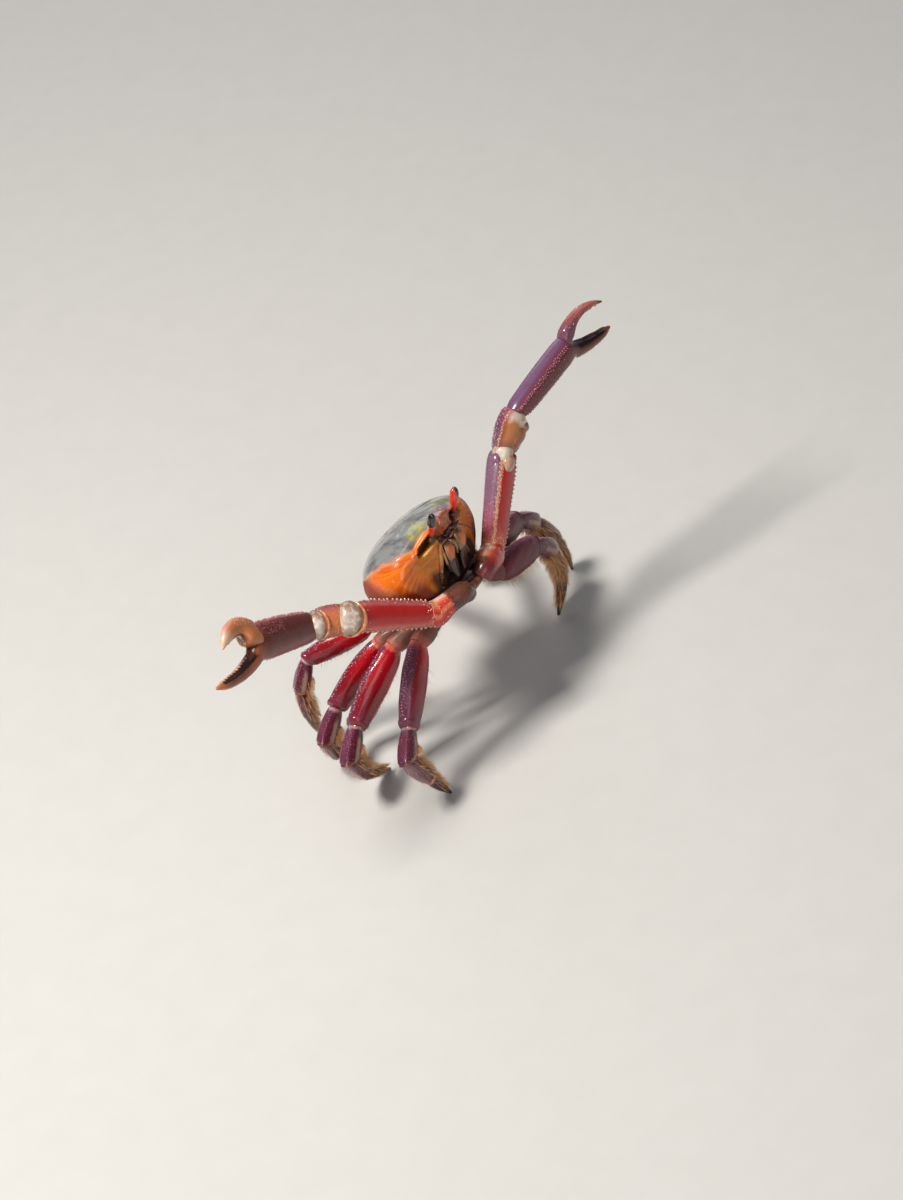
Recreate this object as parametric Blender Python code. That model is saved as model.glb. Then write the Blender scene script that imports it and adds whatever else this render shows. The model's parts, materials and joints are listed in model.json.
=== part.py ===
"""Land crab rearing in its threat posture, life size, metres, +Z up, facing -Y."""
import math

import bmesh
import bpy
import numpy as np
from mathutils import Vector

# body sizes in millimetres, body frame: x crab's left, y back, z up
mm = 0.001
bodyPitch = 21.0
bodyRoll = 2.6
bodyHeight = 82.0
jointGap = 0.3
tipRadius = 0.6

# walking-leg segment lengths by pair: hip, merus, carpus, propodus, dactyl
legLengths = {
    "2": (18.5, 37.0, 16.0, 17.5, 18.5),
    "3": (20.0, 38.5, 17.0, 19.5, 21.5),
    "4": (19.0, 36.5, 16.5, 18.5, 20.0),
    "5": (16.0, 31.0, 15.0, 17.0, 20.5),
}
# hip socket on the underside, left side, body frame
legHips = {
    "2": (14.5, -11.0, -20.0),
    "3": (16.0, -3.0, -20.0),
    "4": (15.5, 5.0, -19.5),
    "5": (13.0, 12.5, -18.0),
}
# azimuth and elevation of each segment in degrees (0 faces front, 90 the crab's left)
legPose = {
    "R2": ((-103, -19), (-82, -42), (-66, -22), (80, -60), 75),
    "R3": ((-122, -22), (-107, -38), (-72, -18), (100, -55), 96),
    "R4": ((-131, -24), (-135, -44), (-80, -22), (112, -55), 108),
    "R5": ((-142, -12), (-144, -18), (-112, -62), (120, -78), 110),
    "L2": ((84, -38), (94, -20), (88, -45), (96, -74), -85),
    "L3": ((90, -20), (99, -13), (88, -40), (74, -58), 84),
    "L4": ((105, -14), (122, -12), (122, -58), (122, -70), 122),
    "L5": ((137, -14), (152, -20), (150, -64), (150, -74), 150),
}
# azimuth of the plane each leg bends in, and the tilt of its front face
legPlane = {
    "R2": (-80, 18), "R3": (-95, 14), "R4": (-112, 10), "R5": (-135, 0),
    "L2": (94, 10), "L3": (92, 0), "L4": (120, 0), "L5": (150, 0),
}
legScale = {"2": 1.0, "3": 1.0, "4": 0.95, "5": 0.8}

clawHip = {"R": (-12.0, -23.0, -15.5), "L": (9.5, -22.5, -16.5)}
# hip, merus, carpus, palm as length, azimuth, elevation
clawPose = {
    "R": ((15.0, -115, -7), (44.0, -114, 30), (18.5, -127, 15), (36.0, -97, 27)),
    "L": ((12.0, 108, -12), (44.5, 97, 45), (19.0, 62, 56), (37.0, 73, 20)),
}
# way from the fixed finger to the movable one
clawUp = {"R": (125, 55), "L": (-117, 70)}
# finger length, angle off the palm in degrees, bow of the centre line
movableFinger = {"R": (20.5, -9.0, 5.4), "L": (26.0, -8.0, 5.0)}
fixedFinger = {"R": (31.0, -19.0, -2.2), "L": (24.0, -24.0, -1.2)}

# (fraction along, half-width, half-thickness, rise) of each walking-leg segment
hipShape = ((0, 3.4, 2.9, 0), (0.3, 3.9, 3.1, 0), (0.8, 4.6, 3.8, 0), (1, 4.3, 3.5, 0))
merusShape = (
    (0, 4.2, 3.4, 0), (0.12, 5.6, 4.2, 0), (0.4, 6.7, 4.6, 0.4),
    (0.75, 6.2, 4.4, 0.4), (0.93, 5.2, 4.0, 0.2), (1, 4.4, 3.5, 0),
)
carpusShape = (
    (0, 3.6, 3.1, 0), (0.2, 4.0, 3.4, 0.3), (0.6, 4.8, 3.8, 0.5),
    (0.88, 4.7, 3.7, 0.2), (1, 4.0, 3.2, 0),
)
propodusShape = (
    (0, 3.4, 2.8, 0), (0.15, 4.0, 3.1, 0.1), (0.55, 4.0, 3.1, 0.2),
    (0.88, 3.5, 2.8, 0.1), (1, 3.0, 2.4, 0),
)
dactylShape = (
    (0, 2.6, 2.2, 0), (0.12, 3.0, 2.4, 0), (0.4, 2.5, 2.1, 0.3),
    (0.75, 1.5, 1.4, 0.3), (1, tipRadius, tipRadius, 0),
)
legShapes = (hipShape, merusShape, carpusShape, propodusShape, dactylShape)
legNames = ("hip", "merus", "carpus", "propodus", "dactyl")

clawHipShape = ((0, 4.0, 3.8, 0), (0.35, 4.8, 4.5, 0), (0.8, 5.4, 4.8, 0), (1, 5.0, 4.4, 0))
clawMerusShape = (
    (0, 4.4, 4.0, 0), (0.12, 5.2, 4.6, 0), (0.5, 5.9, 5.2, 0.3),
    (0.85, 6.5, 5.8, 0.3), (0.95, 6.2, 5.5, 0.1), (1, 5.4, 4.9, 0),
)
clawCarpusShape = (
    (0, 4.8, 4.5, 0), (0.15, 5.8, 5.2, 0.1), (0.55, 6.8, 5.8, 0.4),
    (0.88, 6.5, 5.5, 0.1), (1, 5.2, 4.7, 0),
)

clawNames = ("hip", "merus", "carpus")
palmShape = (
    (0, 4.9, 4.3, 0), (0.1, 5.8, 4.8, 0), (0.5, 6.7, 5.0, 0), (0.88, 6.9, 4.8, 0), (1, 6.5, 4.4, 0),
)
palmHeight = {"R": 1.1, "L": 0.94}
# how far the movable and fixed finger roots sit off the palm's centre line
fingerSpread = {"R": (4.1, 3.9), "L": (3.4, 3.6)}
fingerSteps = (0, 0.12, 0.3, 0.5, 0.7, 0.86, 1)
fixedSizes = ((3.3, 3.5), (3.6, 3.5), (3.5, 3.2), (3.1, 2.8), (2.6, 2.4), (2.0, 1.9), (1.0, 1.0))
movableSizes = {
    "R": ((3.2, 3.4), (3.6, 3.5), (3.8, 3.2), (3.6, 2.8), (3.1, 2.4), (2.2, 1.8), (0.9, 0.8)),
    "L": ((2.8, 3.2), (2.9, 3.1), (2.6, 2.7), (2.1, 2.3), (1.7, 1.8), (1.2, 1.3), (0.6, 0.6)),
}

# station, half width, top, height of the widest line, bottom
carapaceTable = (
    (-26.0, 8.0, 18.0, 13.0, 7.0), (-23.0, 16.8, 18.8, 6.0, -11.5), (-17.0, 26.0, 19.6, 4.0, -16.5),
    (-8.0, 32.5, 19.0, 2.5, -17.0), (2.0, 31.5, 17.2, 0.5, -16.0), (12.0, 27.5, 13.5, -1.0, -14.0),
    (20.0, 17.5, 8.6, -2.0, -11.0), (25.0, 11.0, 4.0, -2.0, -8.0),
)
faceRecess = 4.0
carapaceStations = (-26, -25, -24, -22.5, -20, -16.5, -12, -7, -2, 4, 9, 14, 18, 21.5, 25)
# station, half width, bottom, top
thoraxTable = (
    (-20.0, 9.0, -21.0, -17.4), (-17.0, 13.0, -23.0, -17.4), (-8.0, 15.5, -24.0, -17.4),
    (2.0, 16.5, -24.0, -17.4), (10.0, 15.0, -23.0, -15.8), (16.0, 10.0, -20.5, -13.8),
)
abdomenTable = (
    (-12.0, 2.0, -25.6, -24.5), (-6.0, 4.0, -26.0, -24.5), (4.0, 6.0, -26.2, -24.5),
    (12.0, 7.5, -25.6, -23.6), (17.0, 8.0, -23.6, -21.2), (20.0, 8.0, -21.2, -18.6),
)
# height, depth, half width, half thickness of a mouth plate
mouthTable = (
    (4.5, -26.9, 2.2, 0.7), (2.0, -27.0, 3.2, 0.9), (-3.0, -26.5, 3.4, 1.0),
    (-9.0, -25.7, 3.2, 1.0), (-12.0, -25.1, 2.2, 0.8),
)
eyeBase = (9.7, -23.0, 14.0)
eyeTip = (9.8, -29.0, 23.1)
eyeProfile = ((0, 1.9), (0.2, 2.1), (0.55, 2.2), (0.8, 2.1), (0.93, 1.6), (1, 0.8))

colours = {
    "shell": (0.42, 0.19, 0.06, 1), "under": (0.36, 0.17, 0.13, 1), "limb": (0.42, 0.04, 0.06, 1),
    "purple": (0.16, 0.04, 0.12, 1), "finger": (0.38, 0.15, 0.08, 1), "foot": (0.15, 0.07, 0.04, 1),
    "eye": (0.7, 0.09, 0.03, 1), "feeler": (0.08, 0.03, 0.05, 1),
}


def unit(v):
    v = np.asarray(v, float)
    return v / np.linalg.norm(v)


def heading(azimuth, elevation):
    a, e = math.radians(azimuth), math.radians(elevation)
    return np.array([math.sin(a) * math.cos(e), -math.cos(a) * math.cos(e), math.sin(e)])


def bodyAxes():
    p, r = math.radians(bodyPitch), math.radians(bodyRoll)
    left = np.array([math.cos(r), 0.0, -math.sin(r)])
    back = np.array([0.0, math.cos(p), -math.sin(p)])
    up = unit(np.cross(left, back))
    return np.stack([left, np.cross(up, left), up], 1)


axes = bodyAxes()


def place(points):
    """Body-frame millimetres to world millimetres above the floor."""
    return np.asarray(points, float) @ axes.T + np.array([0.0, 0.0, bodyHeight])


def ovalRing(centre, sideways, upward, width, height, count, power=2.3):
    ring = []
    for k in range(count):
        a = 2 * math.pi * (k + 0.5) / count
        c, s = math.cos(a), math.sin(a)
        x = math.copysign(abs(c) ** (2 / power), c) * width
        y = math.copysign(abs(s) ** (2 / power), s) * height
        ring.append(centre + x * sideways + y * upward)
    return np.array(ring)


def addLoft(name, rings, colour):
    """Closed body through a row of rings, flat at both ends, its origin in the first ring."""
    mesh = bmesh.new()
    root = rings[0].mean(axis=0)
    rows = [[mesh.verts.new(Vector(p - root) * mm) for p in ring] for ring in rings]
    count = len(rows[0])
    for lower, upper in zip(rows, rows[1:]):
        for k in range(count):
            n = (k + 1) % count
            mesh.faces.new((lower[k], lower[n], upper[n], upper[k]))
    mesh.faces.new(rows[0])
    mesh.faces.new(rows[-1])
    bmesh.ops.triangulate(mesh, faces=mesh.faces[:])
    bmesh.ops.recalc_face_normals(mesh, faces=mesh.faces[:])
    return addObject(name, mesh, Vector(root) * mm, colour)


def addObject(name, mesh, location, colour):
    data = bpy.data.meshes.new(name)
    mesh.to_mesh(data)
    mesh.free()
    item = bpy.data.objects.new(name, data)
    item.location = location
    bpy.context.scene.collection.objects.link(item)
    material = bpy.data.materials.new(name + "_skin")
    material.use_nodes = True
    shader = material.node_tree.nodes["Principled BSDF"]
    shader.inputs["Base Color"].default_value = colours[colour]
    shader.inputs["Roughness"].default_value = 0.45
    data.materials.append(material)
    return item


def segmentRings(start, end, front, side, shape, cutStart, cutEnd, count):
    """Rings of one limb segment, sheared so both ends lie on the joint planes."""
    axis = unit(end - start)
    across = unit(front - front.dot(axis) * axis)
    dorsal = side * np.cross(across, axis)
    rings = []
    for along, width, thick, rise in shape:
        ring = ovalRing(start + rise * dorsal, dorsal, across, width, thick, count)
        moved = []
        for p in ring:
            a = (cutStart[0] - p).dot(cutStart[1]) / axis.dot(cutStart[1])
            b = (cutEnd[0] - p).dot(cutEnd[1]) / axis.dot(cutEnd[1])
            moved.append(p + axis * (a + along * (b - a)))
        rings.append(np.array(moved))
    return rings


def jointPlanes(joints, endNormal):
    """Cutting planes of every segment, half a gap off the bisector of each joint."""
    ways = [unit(b - a) for a, b in zip(joints, joints[1:])]
    planes = []
    for i, way in enumerate(ways):
        first = way if i == 0 else unit(ways[i - 1] + way)
        last = unit(way + ways[i + 1]) if i + 1 < len(ways) else endNormal
        lead = 0.0 if i == 0 else jointGap / 2
        trail = jointGap / 2 if i + 1 < len(ways) else 0.0
        planes.append(((joints[i] + first * lead, first), (joints[i + 1] - last * trail, last)))
    return planes


def scaled(shape, factor):
    return [(t, w * factor, h * factor, r * factor) for t, w, h, r in shape]


def legJoints(name):
    side = 1 if name[0] == "L" else -1
    x, y, z = legHips[name[1]]
    joints = [place((side * x, y, z))]
    lengths = legLengths[name[1]]
    for length, (azimuth, elevation) in zip(lengths, legPose[name][:4]):
        joints.append(joints[-1] + length * heading(azimuth, elevation))
    drop = joints[-1][2]
    slope = math.degrees(math.asin(max(-1.0, -drop / lengths[4])))
    joints.append(joints[-1] + lengths[4] * heading(legPose[name][4], slope))
    return side, joints


def buildLeg(name):
    side, joints = legJoints(name)
    azimuth, tilt = legPlane[name]
    front = heading(azimuth - 90 * side, tilt)
    down = np.array([0.0, 0.0, -1.0])
    planes = jointPlanes(joints, down)
    for i, shape in enumerate(legShapes):
        profile = scaled(shape, legScale[name[1]])
        rings = segmentRings(joints[i], joints[i + 1], front, side, profile, *planes[i], 10)
        addLoft(f"leg_{name}_{legNames[i]}", rings, ("under", "limb", "purple", "limb", "foot")[i])


def smoothRow(x, table):
    """Cubic interpolation of a table whose first column is the position."""
    knots = [row[0] for row in table]
    i = min(max(int(np.searchsorted(knots, x)) - 1, 0), len(table) - 2)
    a, b = np.array(table[i], float), np.array(table[i + 1], float)
    before = np.array(table[max(i - 1, 0)], float)
    after = np.array(table[min(i + 2, len(table) - 1)], float)
    span = b[0] - a[0]
    t = (x - a[0]) / span
    slopeA = (b - before) / (b[0] - before[0]) * span
    slopeB = (after - a) / (after[0] - a[0]) * span
    row = (2 * t**3 - 3 * t**2 + 1) * a + (t**3 - 2 * t**2 + t) * slopeA
    row += (3 * t**2 - 2 * t**3) * b + (t**3 - t**2) * slopeB
    return row[1:]


def dent(points, centre, radii, push):
    """Soft push of the points around a centre."""
    away = (points - np.array(centre, float)) / np.array(radii, float)
    weight = np.clip(1 - (away**2).sum(1), 0, 1) ** 1.5
    return points + weight[:, None] * np.array(push, float)


def carapaceRing(y, count):
    width, top, waist, bottom = smoothRow(y, carapaceTable)
    ring = []
    for k in range(count):
        a = 2 * math.pi * (k + 0.5) / count
        c, s = math.cos(a), math.sin(a)
        x = width * math.copysign(abs(c) ** 0.87, c)
        if s >= 0:
            z = waist + (top - waist) * s
        else:
            z = waist - (waist - bottom) * (-s) ** 0.83
            x *= 1 - 0.25 * (-s) ** 1.5
        ring.append((x, y, z))
    return np.array(ring)


def soften(x):
    x = np.clip(x, 0, 1)
    return x * x * (3 - 2 * x)


def leanFace(points):
    """The lower face moved back under the brow."""
    moved = np.array(points, float)
    front = soften((-12.0 - moved[:, 1]) / 11.0)
    low = soften((19.0 - moved[:, 2]) / 7.0)
    moved[:, 1] += faceRecess * front * (0.25 + 0.75 * low)
    return moved


def buildCarapace():
    rings = []
    for y in carapaceStations:
        ring = carapaceRing(y, 28)
        for side in (-1, 1):
            ring = dent(ring, (side * 12.5, -24.0, 12.0), (8.0, 5.0, 6.5), (0, 3.5, 0))
        rings.append(place(leanFace(ring)))
    addLoft("carapace", rings, "shell")


def tubeRings(centres, sizes, upward, count, power=2.3):
    """Rings square to a centre line; sizes hold (height, thickness) half extents."""
    rings = []
    for i, centre in enumerate(centres):
        ahead = centres[min(i + 1, len(centres) - 1)]
        behind = centres[max(i - 1, 0)]
        axis = unit(ahead - behind)
        dorsal = unit(upward - upward.dot(axis) * axis)
        rings.append(ovalRing(centre, dorsal, np.cross(axis, dorsal), *sizes[i], count, power))
    return rings


def fingerLine(root, along, upward, length, angle, bow, steps):
    """Curved centre line of a claw finger."""
    a = math.radians(angle)
    way = math.cos(a) * along + math.sin(a) * upward
    rise = math.cos(a) * upward - math.sin(a) * along
    return [root + length * t * way + bow * 4 * t * (1 - t) * rise for t in steps]


def flatStart(rings, along, root):
    """Lay the first ring on the plane through the root square to the palm."""
    rings[0] = np.array([p + along * (root - p).dot(along) for p in rings[0]])
    return rings


def clawJoints(side):
    sign = 1 if side == "L" else -1
    joints = [place(clawHip[side])]
    for length, azimuth, elevation in clawPose[side]:
        joints.append(joints[-1] + length * heading(azimuth, elevation))
    return sign, joints


def clawFrame(side, joints):
    along = unit(joints[4] - joints[3])
    rough = heading(*clawUp[side])
    upward = unit(rough - rough.dot(along) * along)
    return along, upward, np.cross(along, upward)


def buildClaw(side):
    sign, joints = clawJoints(side)
    along, upward, across = clawFrame(side, joints)
    front = heading(0, 20)
    planes = jointPlanes(joints, along)
    for i, shape in enumerate((clawHipShape, clawMerusShape, clawCarpusShape)):
        ends = planes[i]
        if i == 2:
            front = -sign * across if np.dot(across, front) * -sign > 0 else sign * across
        rings = segmentRings(joints[i], joints[i + 1], front, sign, shape, *ends, 12)
        addLoft(f"claw_{side}_{clawNames[i]}", rings, ("under", "limb", "purple")[i])

    shape = [(t, w * palmHeight[side], h, r) for t, w, h, r in palmShape]
    palm = segmentRings(joints[3], joints[4], across, 1, shape, *planes[3], 12)
    root = joints[4] - fingerSpread[side][1] * upward + 0.4 * along
    line = fingerLine(root, along, upward, *fixedFinger[side], fingerSteps)
    palm += flatStart(tubeRings(line, fixedSizes, upward, 12), along, root)
    addLoft(f"claw_{side}_palm", palm, "purple")

    root = joints[4] + fingerSpread[side][0] * upward + (0.4 + jointGap) * along
    line = fingerLine(root, along, upward, *movableFinger[side], fingerSteps)
    finger = flatStart(tubeRings(line, movableSizes[side], upward, 12), along, root)
    addLoft(f"claw_{side}_finger", finger, "finger")


def buildThorax():
    rings = []
    for y, width, bottom, top in thoraxTable:
        ring = ovalRing(
            np.array([0.0, y, (top + bottom) / 2]), np.array([1.0, 0, 0]), np.array([0, 0, 1.0]),
            width, (top - bottom) / 2, 20, 3.0,
        )
        rings.append(place(ring))
    return addLoft("thorax", rings, "under")


def buildAbdomen():
    rings = []
    for y, width, bottom, top in abdomenTable:
        centre = np.array([0.0, y, (top + bottom) / 2])
        ring = ovalRing(
            centre, np.array([1.0, 0, 0]), np.array([0, 0, 1.0]), width, (top - bottom) / 2, 12, 2.6
        )
        rings.append(place(ring))
    addLoft("abdomen", rings, "under")


def buildMouthplate(side):
    sign = 1 if side == "L" else -1
    rings = []
    for z, y, width, thick in mouthTable:
        centre = np.array([sign * (width + 0.25), y, z])
        ring = ovalRing(centre, np.array([1.0, 0, 0]), np.array([0, 1.0, 0.15]), width, thick, 12, 2.6)
        rings.append(place(leanFace(ring)))
    addLoft(f"maxilliped_{side}", rings, "under")


def buildEye(side):
    sign = 1 if side == "L" else -1
    base, tip = np.array(eyeBase), np.array(eyeTip)
    centres, sizes = [], []
    for t, r in eyeProfile:
        centres.append(place((base + (tip - base) * t) * np.array([sign, 1, 1])))
        sizes.append((r, r))
    addLoft(f"eye_{side}", tubeRings(centres, sizes, np.array([0.0, -1.0, 0.2]), 12, 2.0), "eye")


def buildFeeler(side):
    sign = 1 if side == "L" else -1
    centres, sizes = [], []
    for t in np.linspace(0, 1, 7):
        p = np.array([sign * (4.0 + 3.5 * t), -27.0 - 6.0 * t, 8.5 - 9.0 * t * t + 3.0 * t])
        centres.append(place(leanFace([p])[0]))
        sizes.append((0.75 - 0.45 * t, 0.75 - 0.45 * t))
    addLoft(f"antenna_{side}", tubeRings(centres, sizes, np.array([0.0, 0.0, 1.0]), 8, 2.0), "feeler")


def socketCutter(name):
    """Slightly larger copy of a hip, run into the thorax."""
    source = bpy.data.objects[name]
    mesh = bmesh.new()
    mesh.from_mesh(source.data)
    bmesh.ops.recalc_face_normals(mesh, faces=mesh.faces[:])
    mesh.normal_update()
    moved = [v.co + v.normal * jointGap * mm * 1.15 for v in mesh.verts]
    for v, p in zip(mesh.verts, moved):
        v.co = p
    cutter = addObject("cut_" + name, mesh, source.location, "under")
    cutter.hide_render = True
    cutter.display_type = "WIRE"
    return cutter


def carveSockets(target, hips):
    """Cut the hip sockets out of the thorax."""
    for name in hips:
        cutter = socketCutter(name)
        step = target.modifiers.new("socket", "BOOLEAN")
        step.operation = "DIFFERENCE"
        step.solver = "EXACT"
        step.object = cutter
        bpy.context.view_layer.update()
        graph = bpy.context.evaluated_depsgraph_get()
        carved = bpy.data.meshes.new_from_object(target.evaluated_get(graph))
        target.modifiers.clear()
        old = target.data
        target.data = carved
        bpy.data.meshes.remove(old)
        bpy.data.objects.remove(cutter, do_unlink=True)
    mesh = bmesh.new()
    mesh.from_mesh(target.data)
    bmesh.ops.remove_doubles(mesh, verts=mesh.verts[:], dist=0.00005)
    bmesh.ops.dissolve_degenerate(mesh, edges=mesh.edges[:], dist=0.00003)
    bmesh.ops.triangulate(mesh, faces=mesh.faces[:])
    mesh.to_mesh(target.data)
    mesh.free()


def centreOnFloor():
    """Shift everything so the box around the animal is centred over the origin."""
    corners = []
    for item in bpy.data.objects:
        corners += [item.location + v.co for v in item.data.vertices]
    corners = np.array(corners)
    low, high = corners.min(axis=0), corners.max(axis=0)
    shift = Vector((-(low[0] + high[0]) / 2, -(low[1] + high[1]) / 2, -low[2]))
    for item in bpy.data.objects:
        item.location += shift


def build():
    for item in list(bpy.data.objects):
        bpy.data.objects.remove(item, do_unlink=True)
    buildCarapace()
    buildAbdomen()
    for side in "LR":
        buildMouthplate(side)
        buildEye(side)
        buildFeeler(side)
        buildClaw(side)
    for name in legPose:
        buildLeg(name)
    thorax = buildThorax()
    hips = [f"leg_{name}_hip" for name in legPose] + ["claw_L_hip", "claw_R_hip"]
    carveSockets(thorax, hips)
    carveSockets(bpy.data.objects["carapace"], hips[-2:])
    centreOnFloor()


build()
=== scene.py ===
import json
import math

import bpy
import numpy as np
from mathutils import Matrix, Vector


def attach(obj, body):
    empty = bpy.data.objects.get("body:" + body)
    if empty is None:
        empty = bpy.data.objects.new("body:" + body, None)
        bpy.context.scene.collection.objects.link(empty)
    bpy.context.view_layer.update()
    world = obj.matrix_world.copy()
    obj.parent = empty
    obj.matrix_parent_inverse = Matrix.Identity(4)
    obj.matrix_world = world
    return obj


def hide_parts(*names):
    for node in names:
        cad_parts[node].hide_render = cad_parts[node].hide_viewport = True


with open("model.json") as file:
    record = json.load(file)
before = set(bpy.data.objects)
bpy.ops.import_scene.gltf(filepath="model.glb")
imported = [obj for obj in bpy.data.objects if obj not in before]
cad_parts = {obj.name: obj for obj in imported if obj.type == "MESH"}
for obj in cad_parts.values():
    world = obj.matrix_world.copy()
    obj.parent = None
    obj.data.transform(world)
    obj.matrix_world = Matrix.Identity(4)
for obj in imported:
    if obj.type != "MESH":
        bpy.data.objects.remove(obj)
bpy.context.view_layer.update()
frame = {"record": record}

chance = np.random.default_rng(41)

# millimetres and degrees; the body frame has x to the crab's left, y back and z up
stance = {"pitch": 21.0, "roll": 2.6, "height": 82.0, "gap": 0.3}
towardCamera = (-0.642, -0.485, 0.593)
# step between the rings of a limb, and how square their ovals are
limbMesh = {"step": 0.45, "power": 2.3}

# left hip socket, segment lengths and girth of each pair of legs
legBones = {
    "2": ((14.5, -11, -20), (18.5, 37, 16, 17.5, 18.5), 1),
    "3": ((16, -3, -20), (20, 38.5, 17, 19.5, 21.5), 1),
    "4": ((15.5, 5, -19.5), (19, 36.5, 16.5, 18.5, 20), 0.95),
    "5": ((13, 12.5, -18), (16, 31, 15, 17, 20.5), 0.8),
}
# azimuth and elevation of each segment (the last slopes to the floor), and of the bending plane
legPlan = {
    "R2": ((-103, -19), (-82, -42), (-66, -22), (80, -60), 75, (-80, 18)),
    "R3": ((-122, -22), (-107, -38), (-72, -18), (100, -55), 96, (-95, 14)),
    "R4": ((-131, -24), (-135, -44), (-80, -22), (112, -55), 108, (-112, 10)),
    "R5": ((-142, -12), (-144, -18), (-112, -62), (120, -78), 110, (-135, 0)),
    "L2": ((84, -38), (94, -20), (88, -45), (96, -74), -85, (94, 10)),
    "L3": ((90, -20), (99, -13), (88, -40), (74, -58), 84, (92, 0)),
    "L4": ((105, -14), (122, -12), (122, -58), (122, -70), 122, (120, 0)),
    "L5": ((137, -14), (152, -20), (150, -64), (150, -74), 150, (150, 0)),
}

# rows of fraction along, half width, half thickness, rise
legShapes = {
    "hip": ((0, 3.4, 2.9, 0), (0.3, 3.9, 3.1, 0), (0.8, 4.6, 3.8, 0), (1, 4.3, 3.5, 0)),
    "merus": ((0, 3.9, 3.1, 0), (0.05, 4.7, 3.7, 0), (0.14, 5.7, 4.2, 0), (0.4, 6.7, 4.6, 0.4),
              (0.75, 6.2, 4.4, 0.4), (0.9, 5.4, 4.1, 0.2), (0.96, 5.3, 4.1, 0.1), (1, 4.5, 3.5, 0)),
    "carpus": ((0, 3.3, 2.8, 0), (0.1, 3.7, 3.1, 0.1), (0.25, 4.2, 3.4, 0.3), (0.6, 4.8, 3.8, 0.5),
               (0.88, 4.8, 3.7, 0.2), (1, 4.1, 3.2, 0)),
    "propodus": ((0, 3, 2.5, 0), (0.1, 3.7, 2.9, 0), (0.3, 4.1, 3.2, 0.1), (0.6, 4, 3.1, 0.2),
                 (0.9, 3.5, 2.8, 0.1), (1, 3, 2.4, 0)),
    "dactyl": ((0, 2.3, 2, 0), (0.1, 2.9, 2.3, 0), (0.4, 2.5, 2.1, 0.3), (0.75, 1.5, 1.4, 0.3),
               (0.93, 0.85, 0.8, 0.1), (1, 0.6, 0.6, 0)),
}


def unit(v):  # vectors at length 1
    v = np.asarray(v, float)
    return v / np.linalg.norm(v, axis=-1, keepdims=True)


def heading(azimuth, elevation):  # azimuth 0 looks forward and 90 to the crab's left
    a, e = math.radians(azimuth), math.radians(elevation)
    return np.array([math.sin(a) * math.cos(e), -math.cos(a) * math.cos(e), math.sin(e)])


def bodyAxes():  # columns are the body's left, back and up
    p, r = math.radians(stance["pitch"]), math.radians(stance["roll"])
    left = np.array([math.cos(r), 0.0, -math.sin(r)])
    back = np.array([0.0, math.cos(p), -math.sin(p)])
    up = unit(np.cross(left, back))
    return np.stack([left, np.cross(up, left), up], 1)


axes = bodyAxes()


def place(points):  # body frame to the standing frame
    return np.asarray(points, float) @ axes.T + np.array([0.0, 0.0, stance["height"]])


def legJoints(name):
    (x, y, z), lengths, _ = legBones[name[1]]
    *ways, lastAzimuth, _ = legPlan[name]
    joints = [place((x if name[0] == "L" else -x, y, z))]
    for length, way in zip(lengths, ways):
        joints.append(joints[-1] + length * heading(*way))
    slope = math.degrees(math.asin(max(-1.0, -joints[-1][2] / lengths[4])))
    joints.append(joints[-1] + lengths[4] * heading(lastAzimuth, slope))
    return joints


def standingShift():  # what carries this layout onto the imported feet
    feet = {m["name"]: m["pos_m"] for m in frame["record"]["mounts"] if m["name"].startswith("foot")}
    gaps = [np.array(feet["foot_" + name]) * 1000 - legJoints(name)[-1] for name in legPlan]
    return np.mean(gaps, axis=0) * (1, 1, 0)


shift = standingShift()


def smoothRow(x, table):  # cubic run through a table whose first column is the position
    knots = [row[0] for row in table]
    i = min(max(int(np.searchsorted(knots, x)) - 1, 0), len(table) - 2)
    a, b = np.array(table[i], float), np.array(table[i + 1], float)
    before = np.array(table[max(i - 1, 0)], float)
    after = np.array(table[min(i + 2, len(table) - 1)], float)
    span = b[0] - a[0]
    t = (x - a[0]) / span
    slopeA = (b - before) / (b[0] - before[0]) * span
    slopeB = (after - a) / (after[0] - a[0]) * span
    row = (2 * t**3 - 3 * t**2 + 1) * a + (t**3 - 2 * t**2 + t) * slopeA
    return (row + (3 * t**2 - 2 * t**3) * b + (t**3 - t**2) * slopeB)[1:]


def ease(x, low, high):  # 0 below low, 1 above high, smooth between
    t = np.clip((np.asarray(x, float) - low) / (high - low), 0, 1)
    return t * t * (3 - 2 * t)


def bell(x, width):  # 1 at zero, falling away on both sides
    return np.exp(-((x / width) ** 2))


def ringAngles(count):  # angles round a ring
    return 2 * math.pi * (np.arange(count) + 0.5) / count


def oval(angles, power):  # unit superellipse
    c, s = np.cos(angles), np.sin(angles)
    return np.sign(c) * abs(c) ** (2 / power), np.sign(s) * abs(s) ** (2 / power)


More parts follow.
